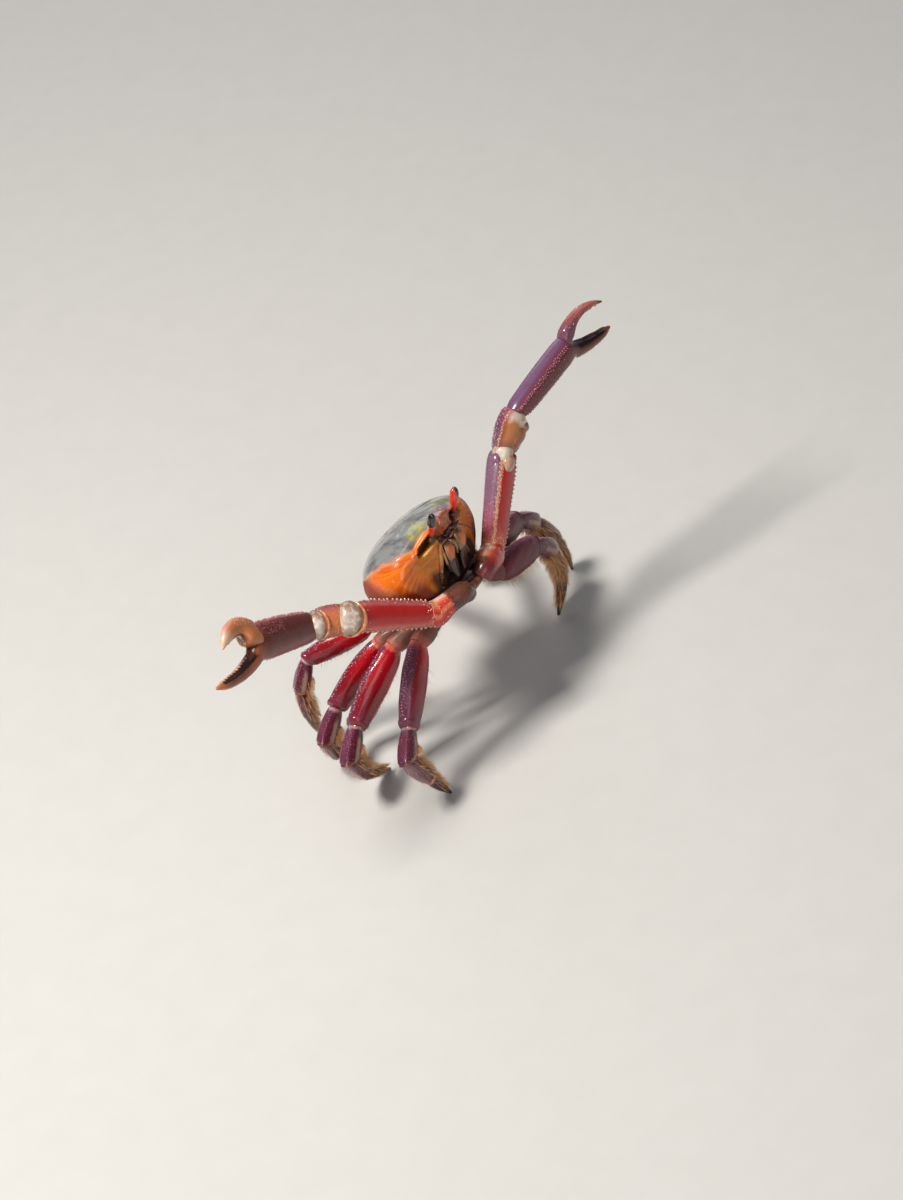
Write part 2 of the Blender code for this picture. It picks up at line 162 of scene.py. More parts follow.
class Sleeve:
    # rings along a limb, with what is needed to find a place on its surface

    def __init__(self, rows, alongs, angles):
        self.rows, self.alongs, self.angles = np.array(rows), np.array(alongs), angles
        self.middles = self.rows.mean(axis=1)
        down = np.gradient(self.rows, axis=0)
        around = np.roll(self.rows, -1, 1) - np.roll(self.rows, 1, 1)
        normals = np.cross(around, down)
        normals /= np.linalg.norm(normals, axis=2, keepdims=True) + 1e-9
        out = ((self.rows - self.middles[:, None]) * normals).sum()
        self.normals = normals * (1 if out > 0 else -1)

    def at(self, t, angle):  # place, normal and direction of the limb
        row = np.interp(t, self.alongs, np.arange(len(self.alongs)))
        step = len(self.angles) * (angle % (2 * math.pi)) / (2 * math.pi) - 0.5
        i, k = int(min(row, len(self.rows) - 2)), int(math.floor(step))
        u, v, n = row - i, step - k, len(self.angles)

        def between(field):
            low = field[i][k % n] * (1 - v) + field[i][(k + 1) % n] * v
            high = field[i + 1][k % n] * (1 - v) + field[i + 1][(k + 1) % n] * v
            return low * (1 - u) + high * u

        ahead = self.middles[min(i + 1, len(self.rows) - 1)] - self.middles[i]
        return between(self.rows), unit(between(self.normals)), unit(ahead + 1e-9)


class Sculpt:
    # collects closed shells with their surface marks, then becomes one piece

    def __init__(self, name, inBody=False):
        self.name, self.inBody, self.total = name, inBody, 0
        self.points, self.faces, self.limb, self.stud, self.uv = [], [], [], [], []

    def add(self, points, faces, limb, stud, uv=None):  # one closed shell, turned to face outward
        points = np.asarray(points, float)
        faces = [np.asarray(f) for f in faces if len(f)]
        middle = points.mean(axis=0)
        volume = 0.0
        for f in faces:
            p = points[f] - middle
            for k in range(1, f.shape[1] - 1):
                volume += (p[:, 0] * np.cross(p[:, k], p[:, k + 1])).sum()
        for f in faces:
            self.faces += ((f if volume > 0 else f[:, ::-1]) + self.total).tolist()
        self.points.append(points)
        self.limb.append(np.broadcast_to(np.asarray(limb, float), (len(points), 3)))
        self.stud.append(np.broadcast_to(np.asarray(stud, float), (len(points),)))
        if uv is not None:
            self.uv.append(uv)
        self.total += len(points)

    def addSleeve(self, rows, alongs, angles, facing):  # rings joined up and closed at both ends
        rows = np.array(rows)
        count = rows.shape[1]
        i, k = np.meshgrid(np.arange(len(rows) - 1), np.arange(count), indexing="ij")
        n = (k + 1) % count
        quads = np.stack([i * count + k, i * count + n, (i + 1) * count + n, (i + 1) * count + k], -1)
        flat = rows.reshape(-1, 3)
        last, end = len(rows) - 1, len(flat)
        ring = np.arange(count)
        caps = [np.stack([(ring + 1) % count, ring, np.full(count, end)], 1),
                np.stack([last * count + ring, last * count + (ring + 1) % count,
                          np.full(count, end + 1)], 1)]
        points = np.concatenate([flat, rows[[0, -1]].mean(axis=1)])
        turn = np.broadcast_to(angles - facing, rows.shape[:2])
        lengthwise = np.broadcast_to(np.asarray(alongs, float)[:, None], rows.shape[:2])
        marks = np.stack([lengthwise, np.cos(turn), np.sin(turn)], -1).reshape(-1, 3)
        marks = np.concatenate([marks, [(alongs[0], 0, 0), (alongs[-1], 0, 0)]])
        self.add(points, [quads.reshape(-1, 4), np.concatenate(caps)], marks, 0.0)

    def addStuds(self, sleeve, spots, markAt, sides=8, leaning=1.0):
        # spots are (along, angle in degrees, radius, height, lean ahead)
        for t, turn, radius, height, lean in spots:
            angle = math.radians(turn)
            point, normal, ahead = sleeve.at(t, angle)
            way = unit(normal + lean * leaning * ahead)
            self.addStud(point, normal, way, radius, height, markAt(t, angle), sides)

    def addStud(self, point, normal, way, radius, height, mark=(0, 0, 0), sides=8, shade=1.0):
        side = unit(np.cross(normal, (0.31, 0.52, 0.79)))
        other = np.cross(normal, side)
        a = 2 * math.pi * np.arange(sides) / sides
        ring = np.cos(a)[:, None] * side + np.sin(a)[:, None] * other
        # width, height and tint of each level
        levels = ((1.25, -0.3, 0.0), (1.0, 0.08, 0.25), (0.72, 0.45, 0.6), (0.42, 0.8, 0.9),
                  (0.16, 0.97, 1.0))
        rows = [point + ring * radius * w + way * height * h for w, h, _ in levels]
        points = np.concatenate(rows + [[point + way * height]])
        quads, tris = [], []
        for i in range(len(levels) - 1):
            for k in range(sides):
                n = (k + 1) % sides
                quads.append((i * sides + k, i * sides + n, (i + 1) * sides + n, (i + 1) * sides + k))
        top = (len(levels) - 1) * sides
        tris += [(top + k, top + (k + 1) % sides, len(points) - 1) for k in range(sides)]
        tris += [(0, (k + 1) % sides, k) for k in range(1, sides - 1)]
        tints = np.repeat([tint for *_, tint in levels], sides).tolist() + [1.0]
        self.add(points, [quads, tris], mark, np.array(tints) * shade)

    def addBlob(self, centre, radii, ways=None, mark=(0, 0, 0), count=16, ripple=None):
        # rounded lump whose radii lie along the three ways
        ways = np.eye(3) if ways is None else np.asarray(ways, float)
        rows = []
        for v in np.linspace(0.04, 0.96, max(8, count // 2 + 2)) * math.pi:
            a = ringAngles(count)
            ball = np.stack([np.cos(a) * math.sin(v), np.sin(a) * math.sin(v),
                             np.full(count, math.cos(v))], 1)
            size = 1.0 if ripple is None else ripple(ball)[:, None]
            rows.append(centre + (ball * size * np.asarray(radii)) @ ways)
        start = len(self.limb)
        self.addSleeve(rows, np.linspace(0, 1, len(rows)), ringAngles(count), 0.0)
        if mark is not None:
            self.limb[start] = np.broadcast_to(np.asarray(mark, float), self.limb[start].shape)

    def addTube(self, path, sizes, count, steps, upward=(0.13, 0.21, 0.97)):  # round tube along a path
        path, sizes = np.asarray(path, float), np.asarray(sizes, float)
        knots = np.linspace(0, 1, len(path))
        table = [(t, *p, s) for t, p, s in zip(knots, path, sizes)]
        stations = np.linspace(0, 1, steps)
        run = np.array([smoothRow(t, table) for t in stations])
        rows = tubeRows(run[:, :3], [(r, r) for r in run[:, 3]], np.asarray(upward), count, 2.0)
        self.addSleeve(rows, stations, ringAngles(count), 0.0)
        return Sleeve(rows, stations, ringAngles(count))

    def make(self, material, nodes=(), slot=None, origin=None):  # origin is in the standing frame
        points = np.concatenate(self.points)
        if self.inBody:
            spot, points = points, place(points)
        points = (points + shift) * 0.001
        root = points.mean(axis=0) if origin is None else (np.asarray(origin) + shift) * 0.001
        mesh = bpy.data.meshes.new(self.name)
        mesh.from_pydata((points - root).tolist(), [], self.faces)
        spot = spot if self.inBody else (points - root) * 1000
        for label, values in (("spot", spot), ("limb", np.concatenate(self.limb))):
            mesh.attributes.new(label, "FLOAT_VECTOR", "POINT").data.foreach_set(
                "vector", np.ascontiguousarray(values, np.float32).ravel())
        mesh.attributes.new("stud", "FLOAT", "POINT").data.foreach_set(
            "value", np.concatenate(self.stud).astype(np.float32))
        mesh.polygons.foreach_set("use_smooth", np.ones(len(mesh.polygons), bool))
        if self.uv:
            corners = np.zeros(len(mesh.loops), np.int32)
            mesh.loops.foreach_get("vertex_index", corners)
            layer = mesh.uv_layers.new(name="OFBake")
            layer.uv.foreach_set("vector", np.concatenate(self.uv)[corners].astype(np.float32).ravel())
        mesh.materials.append(material)
        item = bpy.data.objects.new(self.name, mesh)
        item.location = Vector(root)
        bpy.context.scene.collection.objects.link(item)
        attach(item, "root")
        if nodes:
            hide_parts(*nodes)
        return item


def limbRows(start, end, front, side, shape, cutStart, cutEnd, relief, count=44):
    # rings of one segment, sheared so both ends lie on the joint planes
    axis = unit(end - start)
    across = unit(front - front.dot(axis) * axis)
    dorsal = side * np.cross(across, axis)
    angles = ringAngles(count)
    x, y = oval(angles, limbMesh["power"])
    rows = []
    steps = max(12, int(np.linalg.norm(end - start) / limbMesh["step"]))
    alongs = np.linspace(0, 1, steps)
    for t in alongs:
        width, thick, rise = smoothRow(t, shape)
        swell = 1 + relief(t, angles) / (0.5 * (width + thick))
        ring = start + rise * dorsal + np.outer(x * width * swell, dorsal)
        ring = ring + np.outer(y * thick * swell, across)
        a = (cutStart[0] - ring) @ cutStart[1] / axis.dot(cutStart[1])
        b = (cutEnd[0] - ring) @ cutEnd[1] / axis.dot(cutEnd[1])
        rows.append(ring + np.outer(a + t * (b - a), axis))
    return Sleeve(rows, alongs, angles)


def addSegment(sculpt, sleeve, facing, lip=0.8, knuckle=0.5):
    # the segment's sleeve with a rolled lip at its far end and a knuckle at its root
    first, last = sleeve.rows[0], sleeve.rows[-1]
    back = unit(sleeve.middles[0] - sleeve.middles[1])
    ahead = unit(sleeve.middles[-1] - sleeve.middles[-2])
    a, b = first.mean(axis=0), last.mean(axis=0)
    near = [a + (first - a) * w + back * d for w, d in
            ((0.3, knuckle * 0.5), (0.7, knuckle * 0.4), (0.93, knuckle * 0.12))]
    far = [b + (last - b) * w + ahead * d for w, d in
           ((0.975, 0.12), (0.93, 0.13), (0.88, -0.25), (0.84, -lip), (0.3, -lip))]
    rows = near + list(sleeve.rows) + far
    alongs = [0.0] * len(near) + list(sleeve.alongs) + [1.0] * len(far)
    sculpt.addSleeve(rows, alongs, sleeve.angles, facing)


def markRound(facing):  # limb marks of a place on a segment that faces the given angle
    return lambda t, angle: (t, math.cos(angle - facing), math.sin(angle - facing))


def tubeRows(centres, sizes, upward, count, power):
    # oval rings square to a run of centres
    rows = []
    for i, centre in enumerate(centres):
        ahead = centres[min(i + 1, len(centres) - 1)]
        axis = unit(ahead - centres[max(i - 1, 0)])
        dorsal = unit(upward - upward.dot(axis) * axis)
        x, y = oval(ringAngles(count), power)
        rows.append(centre + np.outer(x * sizes[i][0], dorsal)
                    + np.outer(y * sizes[i][1], np.cross(axis, dorsal)))
    return rows


def jointPlanes(joints, endNormal):
    # where each segment starts and ends, so neighbours meet in a narrow gap
    ways = [unit(b - a) for a, b in zip(joints, joints[1:])]
    planes = []
    for i, way in enumerate(ways):
        first = way if i == 0 else unit(ways[i - 1] + way)
        last = unit(way + ways[i + 1]) if i + 1 < len(ways) else endNormal
        lead = 0.0 if i == 0 else stance["gap"] / 2
        trail = stance["gap"] / 2 if i + 1 < len(ways) else 0.0
        planes.append(((joints[i] + first * lead, first), (joints[i + 1] - last * trail, last)))
    return planes


class Wire:
    # one output of a material's node, with arithmetic and soft thresholds

    def __init__(self, finish, socket):
        self.finish, self.socket = finish, socket

    def math(self, operation, *others):
        sockets = dict(enumerate((self, *others)))
        return self.finish.node("Math", {"operation": operation}, sockets)

    def __add__(self, other):
        return self.math("ADD", other)

    def __sub__(self, other):
        return self.math("SUBTRACT", other)

    def __mul__(self, other):
        return self.math("MULTIPLY", other)

    def __rsub__(self, other):
        return self.finish.node("Math", {"operation": "SUBTRACT"}, {0: other, 1: self})

    __radd__ = __add__
    __rmul__ = __mul__

    def step(self, low, high):  # smooth 0 to 1 between two values
        return self.finish.node("MapRange", {"interpolation_type": "SMOOTHSTEP"},
                                {"Value": self, "From Min": low, "From Max": high})

    def near(self, value, width):  # 1 close to the value, 0 beyond the width
        core = width * 0.3
        return 1 - (self - value).math("ABSOLUTE").step(core, width)


class Finish:
    # a surface finish made of nodes

    def __init__(self, name, **fixed):
        self.material = bpy.data.materials.new(name)
        self.material.use_nodes = True
        self.tree = self.material.node_tree
        self.shader = self.tree.nodes["Principled BSDF"]
        for label, value in fixed.items():
            self.shader.inputs[label.replace("_", " ")].default_value = value

    def node(self, kind, settings=None, sockets=None, output=0):
        made = self.tree.nodes.new("ShaderNode" + kind)
        for label, value in (settings or {}).items():
            setattr(made, label, value)
        for label, value in (sockets or {}).items():
            self.plug(made.inputs[label], value)
        return Wire(self, made.outputs[output])

    def plug(self, socket, value):
        if isinstance(value, Wire):
            self.tree.links.new(value.socket, socket)
        else:
            socket.default_value = value

    def mark(self, name, output="Vector"):  # a surface mark of the mesh
        return self.node("Attribute", {"attribute_name": name}, output=output)

    def parts(self, vector):  # x, y and z of a vector
        found = self.node("SeparateXYZ", sockets={0: vector})
        return [Wire(self, s) for s in found.socket.node.outputs]

    def noise(self, vector, scale, detail, roughness=0.5):
        return self.node("TexNoise", None, {"Vector": vector, "Scale": scale, "Detail": detail,
                                            "Roughness": roughness})

    def cells(self, vector, scale):  # distance to the nearest of scattered points
        return self.node("TexVoronoi", None, {"Vector": vector, "Scale": scale})

    def streaks(self, value, scale, detail):  # noise along one number
        return self.node("TexNoise", {"noise_dimensions": "1D"},
                         {"W": value, "Scale": scale, "Detail": detail})

    def stretch(self, vector, x, y, z):
        return self.node("VectorMath", {"operation": "MULTIPLY"}, {0: vector, 1: (x, y, z)})

    def mix(self, a, b, mask, way="MIX"):
        return self.node("Mix", {"data_type": "RGBA", "blend_type": way, "clamp_factor": True},
                         {0: mask, 6: a, 7: b}, 2)

    def bump(self, height, strength, distance, under=None):  # distance in millimetres
        sockets = {"Height": height, "Strength": strength, "Distance": distance * 0.001}
        if under:
            sockets["Normal"] = under
        return self.node("Bump", None, sockets)

    def done(self, **sockets):  # plugs the last values in and gives the material
        for label, value in sockets.items():
            self.plug(self.shader.inputs[label.replace("_", " ")], value)
        return self.material


def tone(red, green, blue):  # screen colour 0 to 255 as a shader colour
    def linear(v):
        v /= 255
        return v / 12.92 if v <= 0.04045 else ((v + 0.055) / 1.055) ** 2.4
    return (linear(red), linear(green), linear(blue), 1.0)


def tones(**screen):  # named screen colours
    return {name: tone(*colour) for name, colour in screen.items()}


soil = (0.02, 0.012, 0.01, 1)
shellLook = tones(
    slate=(140, 144, 142), slateDark=(82, 84, 88), lilac=(136, 122, 124), moss=(150, 152, 74),
    straw=(206, 176, 92), amber=(244, 142, 14), orange=(228, 94, 2), rust=(126, 36, 0),
    maroon=(62, 18, 4), rim=(226, 160, 118), blade=(240, 116, 6), cheek=(222, 138, 30),
    lobe=(192, 104, 52), yellow=(236, 182, 92), red=(190, 44, 26), dark=(42, 22, 12),
)
# the line where the slate back meets the orange side, highest near the front of the shell
margin = {"height": 12.7, "front": -14.0, "fall": 0.0105, "colourLift": 0.2}


def marginHeight(y):  # for numbers, arrays and wires alike
    behind = y - margin["front"]
    return margin["height"] - behind * behind * margin["fall"]


def paintShell():
    # slate back, orange sides with a fan of streaks from the eye corner, flanks darkening to rust and
    # maroon lower down (partly their own colour, partly painted shade), orange face
    look = shellLook
    f = Finish("crabShell", Roughness=0.2, Coat_Roughness=0.06)

    def lay(under, name, mask):
        return f.mix(under, look[name], mask)

    spot = f.mark("spot")
    x, y, z = f.parts(spot)
    ax = x.math("ABSOLUTE")
    deep, inFace, tint = f.parts(f.mark("limb"))
    wide = f.noise(spot, 0.09, 3)
    middle = f.noise(spot, 0.28, 4, 0.6)
    fine = f.noise(spot, 1.6, 3)
    stud = f.mark("stud", "Fac")

    # height above the margin, which the noise makes ragged
    height = z - (marginHeight(y) + margin["colourLift"] + (middle - 0.5) * 3.0)
    back = height.step(-1.0, 1.4)
    clouds = f.noise(f.stretch(spot, 1, 0.45, 1), 0.16, 4, 0.6)
    slate = f.mix(look["slateDark"], look["slate"], clouds.step(0.34, 0.58))
    slate = lay(slate, "lilac", wide.step(0.45, 0.7) * 0.6)
    # two mossy patches beside the front lobe, red crumbs on it
    mossy = (ax - 10.5).near(0, 8) * (y + 17.0).near(0, 6)
    slate = lay(slate, "moss", mossy * middle.step(0.36, 0.56) * 0.85)
    slate = lay(slate, "straw", mossy * middle.step(0.56, 0.68) * 0.8)
    slate = lay(slate, "maroon", (y.step(10, 26) + ax.step(26, 33)) * 0.35)
    crumbs = ax.step(7, 2) * y.step(-18.5, -22.0) * fine.step(0.5, 0.64)
    slate = lay(slate, "red", crumbs * 0.8)

    # streaks fan out from the outer corner of the orbit
    away = f.node("Math", {"operation": "ARCTAN2"}, {0: z - 9.8, 1: y + 20.0})
    fan, streak = f.streaks(away, 5.0, 2.0), f.streaks(away + 3.7, 11.0, 1.0)
    low = (z - 4.0 - (y + 4) * 0.5 + (middle - 0.5) * 6).step(3.5, -5.0)
    side = f.mix(look["amber"], look["orange"], fan.step(0.38, 0.62))
    side = lay(side, "orange", height.step(0.5, -2.5) * 0.3 + wide.step(0.4, 0.7) * 0.4)
    # the lower flank turns rust, then maroon where it curves under: partly the shell's own colour, partly
    # painted shade
    side = lay(side, "rust", low * 0.95)
    side = lay(side, "maroon", (z - y * 0.25).step(-1.0, -9) * 0.92)
    lines = (streak - 0.5).math("ABSOLUTE").step(0.04, 0.012)
    lines = lines * height.step(1, -1) * y.step(4, -10) * ax.step(17, 21)
    side = lay(side, "rust", lines * 0.4)
    colour = f.mix(side, slate, back)
    # pale line along the margin ridge: partly the pale beaded border, partly a painted sheen
    seam = (height + 0.1).near(0, 0.75) * y.step(20, 4) * ax.step(17, 21) * y.step(-20.5, -18)
    colour = lay(colour, "rim", seam * 0.55)

    # the face: cheeks, orbits, front lobe
    cheek = f.mix(look["cheek"], look["orange"], middle.step(0.45, 0.62) * 0.7)
    # dark low on the cheek where it turns under: partly dark hair, partly painted shade
    shade = (z + (middle - 0.5) * 5).step(0.0, -4.5) * ax.step(19.5, 15.0)
    cheek = lay(cheek, "dark", shade * 0.9)
    # painted shade round the mouth plates, below the front lobe
    cheek = lay(cheek, "dark", ax.step(9.5, 7.0) * z.step(7.6, 6.6))
    lobe = ax.step(5.0, 4.0) * z.step(8.5, 10.0)
    cheek = lay(cheek, "lobe", lobe)
    cheek = lay(cheek, "red", lobe * middle.step(0.42, 0.6) * 0.8)
    cheek = lay(cheek, "dark", lobe * fine.step(0.48, 0.66) * 0.7)
    # painted highlight in yellow on the sill and pan under the eye
    cheek = lay(cheek, "yellow", tint.step(0.1, 0.7))
    cheek = lay(cheek, "blade", (tint * -1).step(0.15, 0.6))
    faceHere = inFace * (1 - y.step(-17.5, -14.5) * ax.step(17, 20))
    colour = f.mix(colour, cheek, faceHere)
    lobeEdge = (ax - 3.8).near(0, 0.8) * z.step(9.2, 10.4) * faceHere
    colour = lay(colour, "red", lobeEdge * 0.6)
    # painted shade in the hollows: the orbit slots, the nook under the lobe and the gutters beside it
    colour = lay(colour, "dark", deep.step(0.25, 1.0) * 0.9)
    freckle = f.cells(spot, 1.1).step(0.16, 0.05)
    colour = lay(colour, "rim", freckle * ax.step(5, 3.5) * faceHere * z.step(9, 11) * 0.7)
    colour = lay(colour, "rim", stud * 0.85)
    colour = f.mix(colour, f.mix(colour, soil, 0.5), (fine - 0.42).step(0.12, 0.3) * 0.35)

    pits = f.cells(spot, 0.9).step(0.0, 0.16)
    relief = f.bump(middle, 0.35, 0.5)
    relief = f.bump(pits + fine * 0.6, 0.25, 0.12, relief)
    far = x.step(12, 20) * (1 - back)  # the side in the shade is duller
    rough = 0.15 + middle * 0.14 + low * (1 - back) * 0.3 + faceHere * 0.12 + far * 0.25
    coat = (0.7 - faceHere * 0.35) - low * (1 - back) * 0.68 - far * 0.5
    return f.done(Base_Color=colour, Roughness=rough, Normal=relief, Coat_Weight=coat)


# blush and shadow over the colour of every limb, its pale specks, which also carry painted glints, and
# how reflective it is
limbLook = {"blush": (0.8, 0.42, 0.34, 1), "shadow": (0.012, 0.006, 0.01, 1),
            "speck": (0.72, 0.6, 0.64, 1),
            "reflective": 0.36}
everywhere = ("turn", -3.0, -2.0)


def skin(name, base, studs, layers, specks, gloss, coat, speckAt=everywhere, dark=0.35):
    # what paintLimb needs; each layer is a tone, its strength, and areas by place along the limb,
    # toward its face and round its side, from where the tone starts to where it is full
    return {"name": name, "base": base, "studs": studs, "layers": layers, "specks": specks,
            "gloss": gloss, "coat": coat, "speckAt": speckAt, "dark": dark}


def paintLimb(tones, name, base, studs, layers, specks, gloss, coat, speckAt, dark):
    f = Finish(name, Roughness=gloss, Coat_Weight=coat, Coat_Roughness=0.07,
               Specular_IOR_Level=limbLook["reflective"])
    spot = f.mark("spot")
    marks = dict(zip(("along", "face", "turn"), f.parts(f.mark("limb"))))
    broad, fine = f.noise(spot, 0.22, 3, 0.55), f.noise(spot, 1.3, 4, 0.6)
    grain = f.noise(spot, 3.6, 2)
    stray = {"along": (broad - 0.5) * 0.3, "face": (broad - 0.5) * 0.5, "turn": (fine - 0.5) * 0.4}

    def area(part, low, high):
        return (marks[part] + stray[part]).step(low, high)

    colour = tones[base]
    for shade, strength, *areas in layers:
        mask = strength
        for each in areas:
            mask = area(*each) * mask
        colour = f.mix(colour, tones[shade], mask)
    colour = f.mix(colour, limbLook["blush"], (broad - 0.5).step(0.0, 0.2) * 0.35, "OVERLAY")
    shadow = f.mix(colour, limbLook["shadow"], 0.6)
    colour = f.mix(colour, shadow, (broad * 0.6 + fine * 0.6 - 0.42).step(0.12, 0.45) * dark)
    dots = f.cells(spot, 1.35).step(0.22, 0.1) * fine.step(0.42, 0.56)
    # painted glints: tiny pale spots standing in for sparkle on the wet surface, added to the pale specks
    paintedGlints = f.cells(spot, 2.9).step(0.2, 0.08) * grain.step(0.4, 0.55)
    dots = (dots + paintedGlints * 0.7) * area(*speckAt)
    colour = f.mix(colour, limbLook["speck"], dots * specks)
    raised = f.mark("stud", "Fac")
    colour = f.mix(colour, tones[studs], raised.step(0.1, 0.9) * 0.9)
    rings = f.node("CombineXYZ", None, {0: marks["along"] * 26, 1: marks["turn"] * 3,
                                        2: marks["face"] * 3})
    relief = f.bump(f.noise(rings, 1.0, 3), 0.16, 0.3)
    relief = f.bump(fine + dots * 0.6, 0.3, 0.2, relief)
    relief = f.bump(grain, 0.15, 0.07, relief)
    return f.done(Base_Color=colour, Roughness=gloss + fine * 0.18 + raised * 0.1, Normal=relief)


# colour of the painted highlight laid in blotches on the joint skin, for a pearly wet look
paintedPearlSheen = (0.84, 0.81, 0.78, 1)


def paintMembrane(name, pale, warm, edge, furrow=0.12):
    # taut glossy joint skin, ringed, paler toward the middle of its face and darker toward its rim; on
    # the claws the face is the side toward the camera, so this is partly painted highlight and painted
    # shade
    f = Finish(name, Roughness=0.2, Coat_Weight=0.9, Coat_Roughness=0.04, Subsurface_Weight=0.12,
               Subsurface_Scale=0.002)
    spot = f.mark("spot")
    broad, fine = f.noise(spot, 0.3, 3), f.noise(spot, 1.8, 3)
    along, toFace, turn = f.parts(f.mark("limb"))
    # pale toward the middle of the face, dark toward its outline: on the claws, where the face is toward
    # the camera, partly painted highlight and painted shade
    colour = f.mix(warm, pale, (toFace + (broad - 0.5) * 0.4 - turn * 0.12).step(0.55, 0.98))
    colour = f.mix(colour, edge, (toFace + (broad - 0.5) * 0.3).step(0.42, 0.0) * 0.85)
    rings = f.node("Math", {"operation": "SINE"}, {0: toFace * 34.0 + broad * 5.0 + turn * 2.0})
    colour = f.mix(colour, warm, rings.step(0.4, 1.0) * 0.18)
    colour = f.mix(colour, edge, fine.step(0.58, 0.75) * 0.25)
    blotch = f.noise(spot, 0.34, 2)
    colour = f.mix(colour, edge, blotch.step(0.5, 0.75) * 0.4)
    # pale blotches of painted highlight
    colour = f.mix(colour, paintedPearlSheen, blotch.step(0.48, 0.3) * 0.6)
    furrows = f.noise(f.node("CombineXYZ", None, {0: along * 2.5, 1: turn * 9, 2: toFace * 2}), 1.0, 3)
    relief = f.bump(rings, 0.08, 0.16)
    relief = f.bump(furrows, furrow, 0.7, relief)
    relief = f.bump(fine, 0.15, 0.1, relief)
    return f.done(Base_Color=colour, Roughness=0.16 + fine * 0.16, Normal=relief)


def paintPlain(name, base, second, third, gloss, coat, scale, studTone=None):
    # mottled small parts; the scale sets how fine the mottling is
    f = Finish(name, Roughness=gloss, Coat_Weight=coat, Coat_Roughness=0.1)
    spot = f.mark("spot")
    broad = f.noise(spot, scale * 0.35, 3)
    fine = f.noise(spot, scale * 2.2, 4, 0.6)
    colour = f.mix(base, second, broad.step(0.4, 0.62))
    colour = f.mix(colour, third, fine.step(0.52, 0.72) * 0.7)
    if studTone:
        colour = f.mix(colour, studTone, f.mark("stud", "Fac"))
    relief = f.bump(broad, 0.35, 0.4)
    relief = f.bump(fine, 0.4, 0.16, relief)
    return f.done(Base_Color=colour, Roughness=gloss + fine * 0.2, Normal=relief)


def paintHair(name, root, middle, tip, gloss=0.4):
    # limb mark holds how far along the hair, and a number of its own
    f = Finish(name, Roughness=gloss, Coat_Weight=0.2)
    along, own, _ = f.parts(f.mark("limb"))
    spot = f.mark("spot")
    colour = f.mix(root, middle, (along + (own - 0.5) * 0.3).step(-0.05, 0.25))
    colour = f.mix(colour, tip, (along + (own - 0.5) * 0.5).step(0.3, 0.85))
    colour = f.mix(colour, root, f.noise(spot, 0.35, 2).step(0.5, 0.7) * 0.3)
    relief = f.bump(f.noise(spot, 3.0, 2), 0.3, 0.1)
    return f.done(Base_Color=colour, Roughness=gloss + own * 0.2, Normal=relief)


def paintCornea():
    # black glossy eye with fine facets
    f = Finish("cornea", Roughness=0.08, Coat_Weight=1.0, Coat_Roughness=0.02, IOR=1.5)
    spot = f.mark("spot")
    facets = f.cells(spot, 6.0)
    black, brown = (0.006, 0.004, 0.003, 1), (0.035, 0.016, 0.008, 1)
    colour = f.mix(black, brown, f.noise(spot, 0.8, 3).step(0.45, 0.75))
    return f.done(Base_Color=colour, Roughness=0.08 + facets * 0.1, Normal=f.bump(facets, 0.08, 0.05))


# the shell: station, half width, top, height of the widest line, bottom
carapaceTable = (
    (-26, 8, 18, 13, 7), (-23, 16.8, 18.8, 6, -11.5), (-17, 26, 19.6, 4, -16.5),
    (-8, 32.5, 19, 2.5, -17), (2, 31.5, 17.2, 0.5, -16), (12, 27.5, 13.5, -1, -14),
    (20, 17.5, 8.6, -2, -11), (25, 11, 4, -2, -8),
)
# the orbit slot runs outward and down; height is that of its centre line 8 mm from the middle
orbit = {"from": 5.6, "to": 19.6, "height": 11.8, "fall": 0.24, "tall": 2.4, "deep": 4.6}
# side offset and height of the top of the orange face
browTable = ((0, 17.8), (3.4, 17.4), (5, 16), (8, 15.8), (12, 15.8), (14.5, 15.2), (16.5, 13.6),
             (18.5, 11.2), (20, 9.6), (24, 5))
faceRecess = 4.0
shellMesh = {"around": 288, "front": 34, "rear": 16, "smoothing": 24}


def leanFace(points):  # sets the lower face back under the brow
    front = ease(points[..., 1], -12.0, -23.0)
    low = ease(points[..., 2], 19.0, 12.0)
    out = points.copy()
    out[..., 1] += faceRecess * front * (0.25 + 0.75 * low)
    return out


def shellRing(y, angles):  # outline of the shell at one station
    width, top, waist, bottom = smoothRow(y, carapaceTable)
    c, s = np.cos(angles), np.sin(angles)
    x = width * np.sign(c) * abs(c) ** 0.87
    high = waist + (top - waist) * s
    low = waist - (waist - bottom) * np.maximum(-s, 0) ** 0.83
    x = np.where(s >= 0, x, x * (1 - 0.25 * np.maximum(-s, 0) ** 1.5))
    return np.stack([x, np.full(len(angles), float(y)), np.where(s >= 0, high, low)], 1)


def shellRows():
    angles = ringAngles(shellMesh["around"])
    front, rear = shellRing(-26, angles), shellRing(25, angles)
    rows = []
    for f in np.linspace(0.04, 0.98, shellMesh["front"]):
        row = front.mean(axis=0) + (front - front.mean(axis=0)) * f
        row[:, 1] = -26 - 0.6 * (1 - f * f)
        rows.append(row)
    stations = np.concatenate([np.arange(-26, -16, 0.2), np.linspace(-16, 25, 56)])
    rows += [shellRing(y, angles) for y in stations]
    for f in np.linspace(0.97, 0.04, shellMesh["rear"]):
        row = rear.mean(axis=0) + (rear - rear.mean(axis=0)) * f
        row[:, 1] = 25 + 1.2 * (1 - f * f)
        rows.append(row)
    rows = np.array(rows)
    for _ in range(shellMesh["smoothing"]):
        rows[1:-1] = (rows[:-2] + 2 * rows[1:-1] + rows[2:]) / 4
    return rows, angles


def window(p, centre, radii, power):  # 1 at a place on both sides, 0 beyond the radii
    away = (np.stack([abs(p[..., 0]), p[..., 1], p[..., 2]], -1) - centre) / radii
    return np.clip(1 - (away**2).sum(-1), 0, 1) ** power


def browHeight(ax):
    return np.interp(ax, *zip(*browTable))


def slotLine(ax):  # height of the orbit slot's centre line
    return orbit["height"] - orbit["fall"] * (ax - 8)


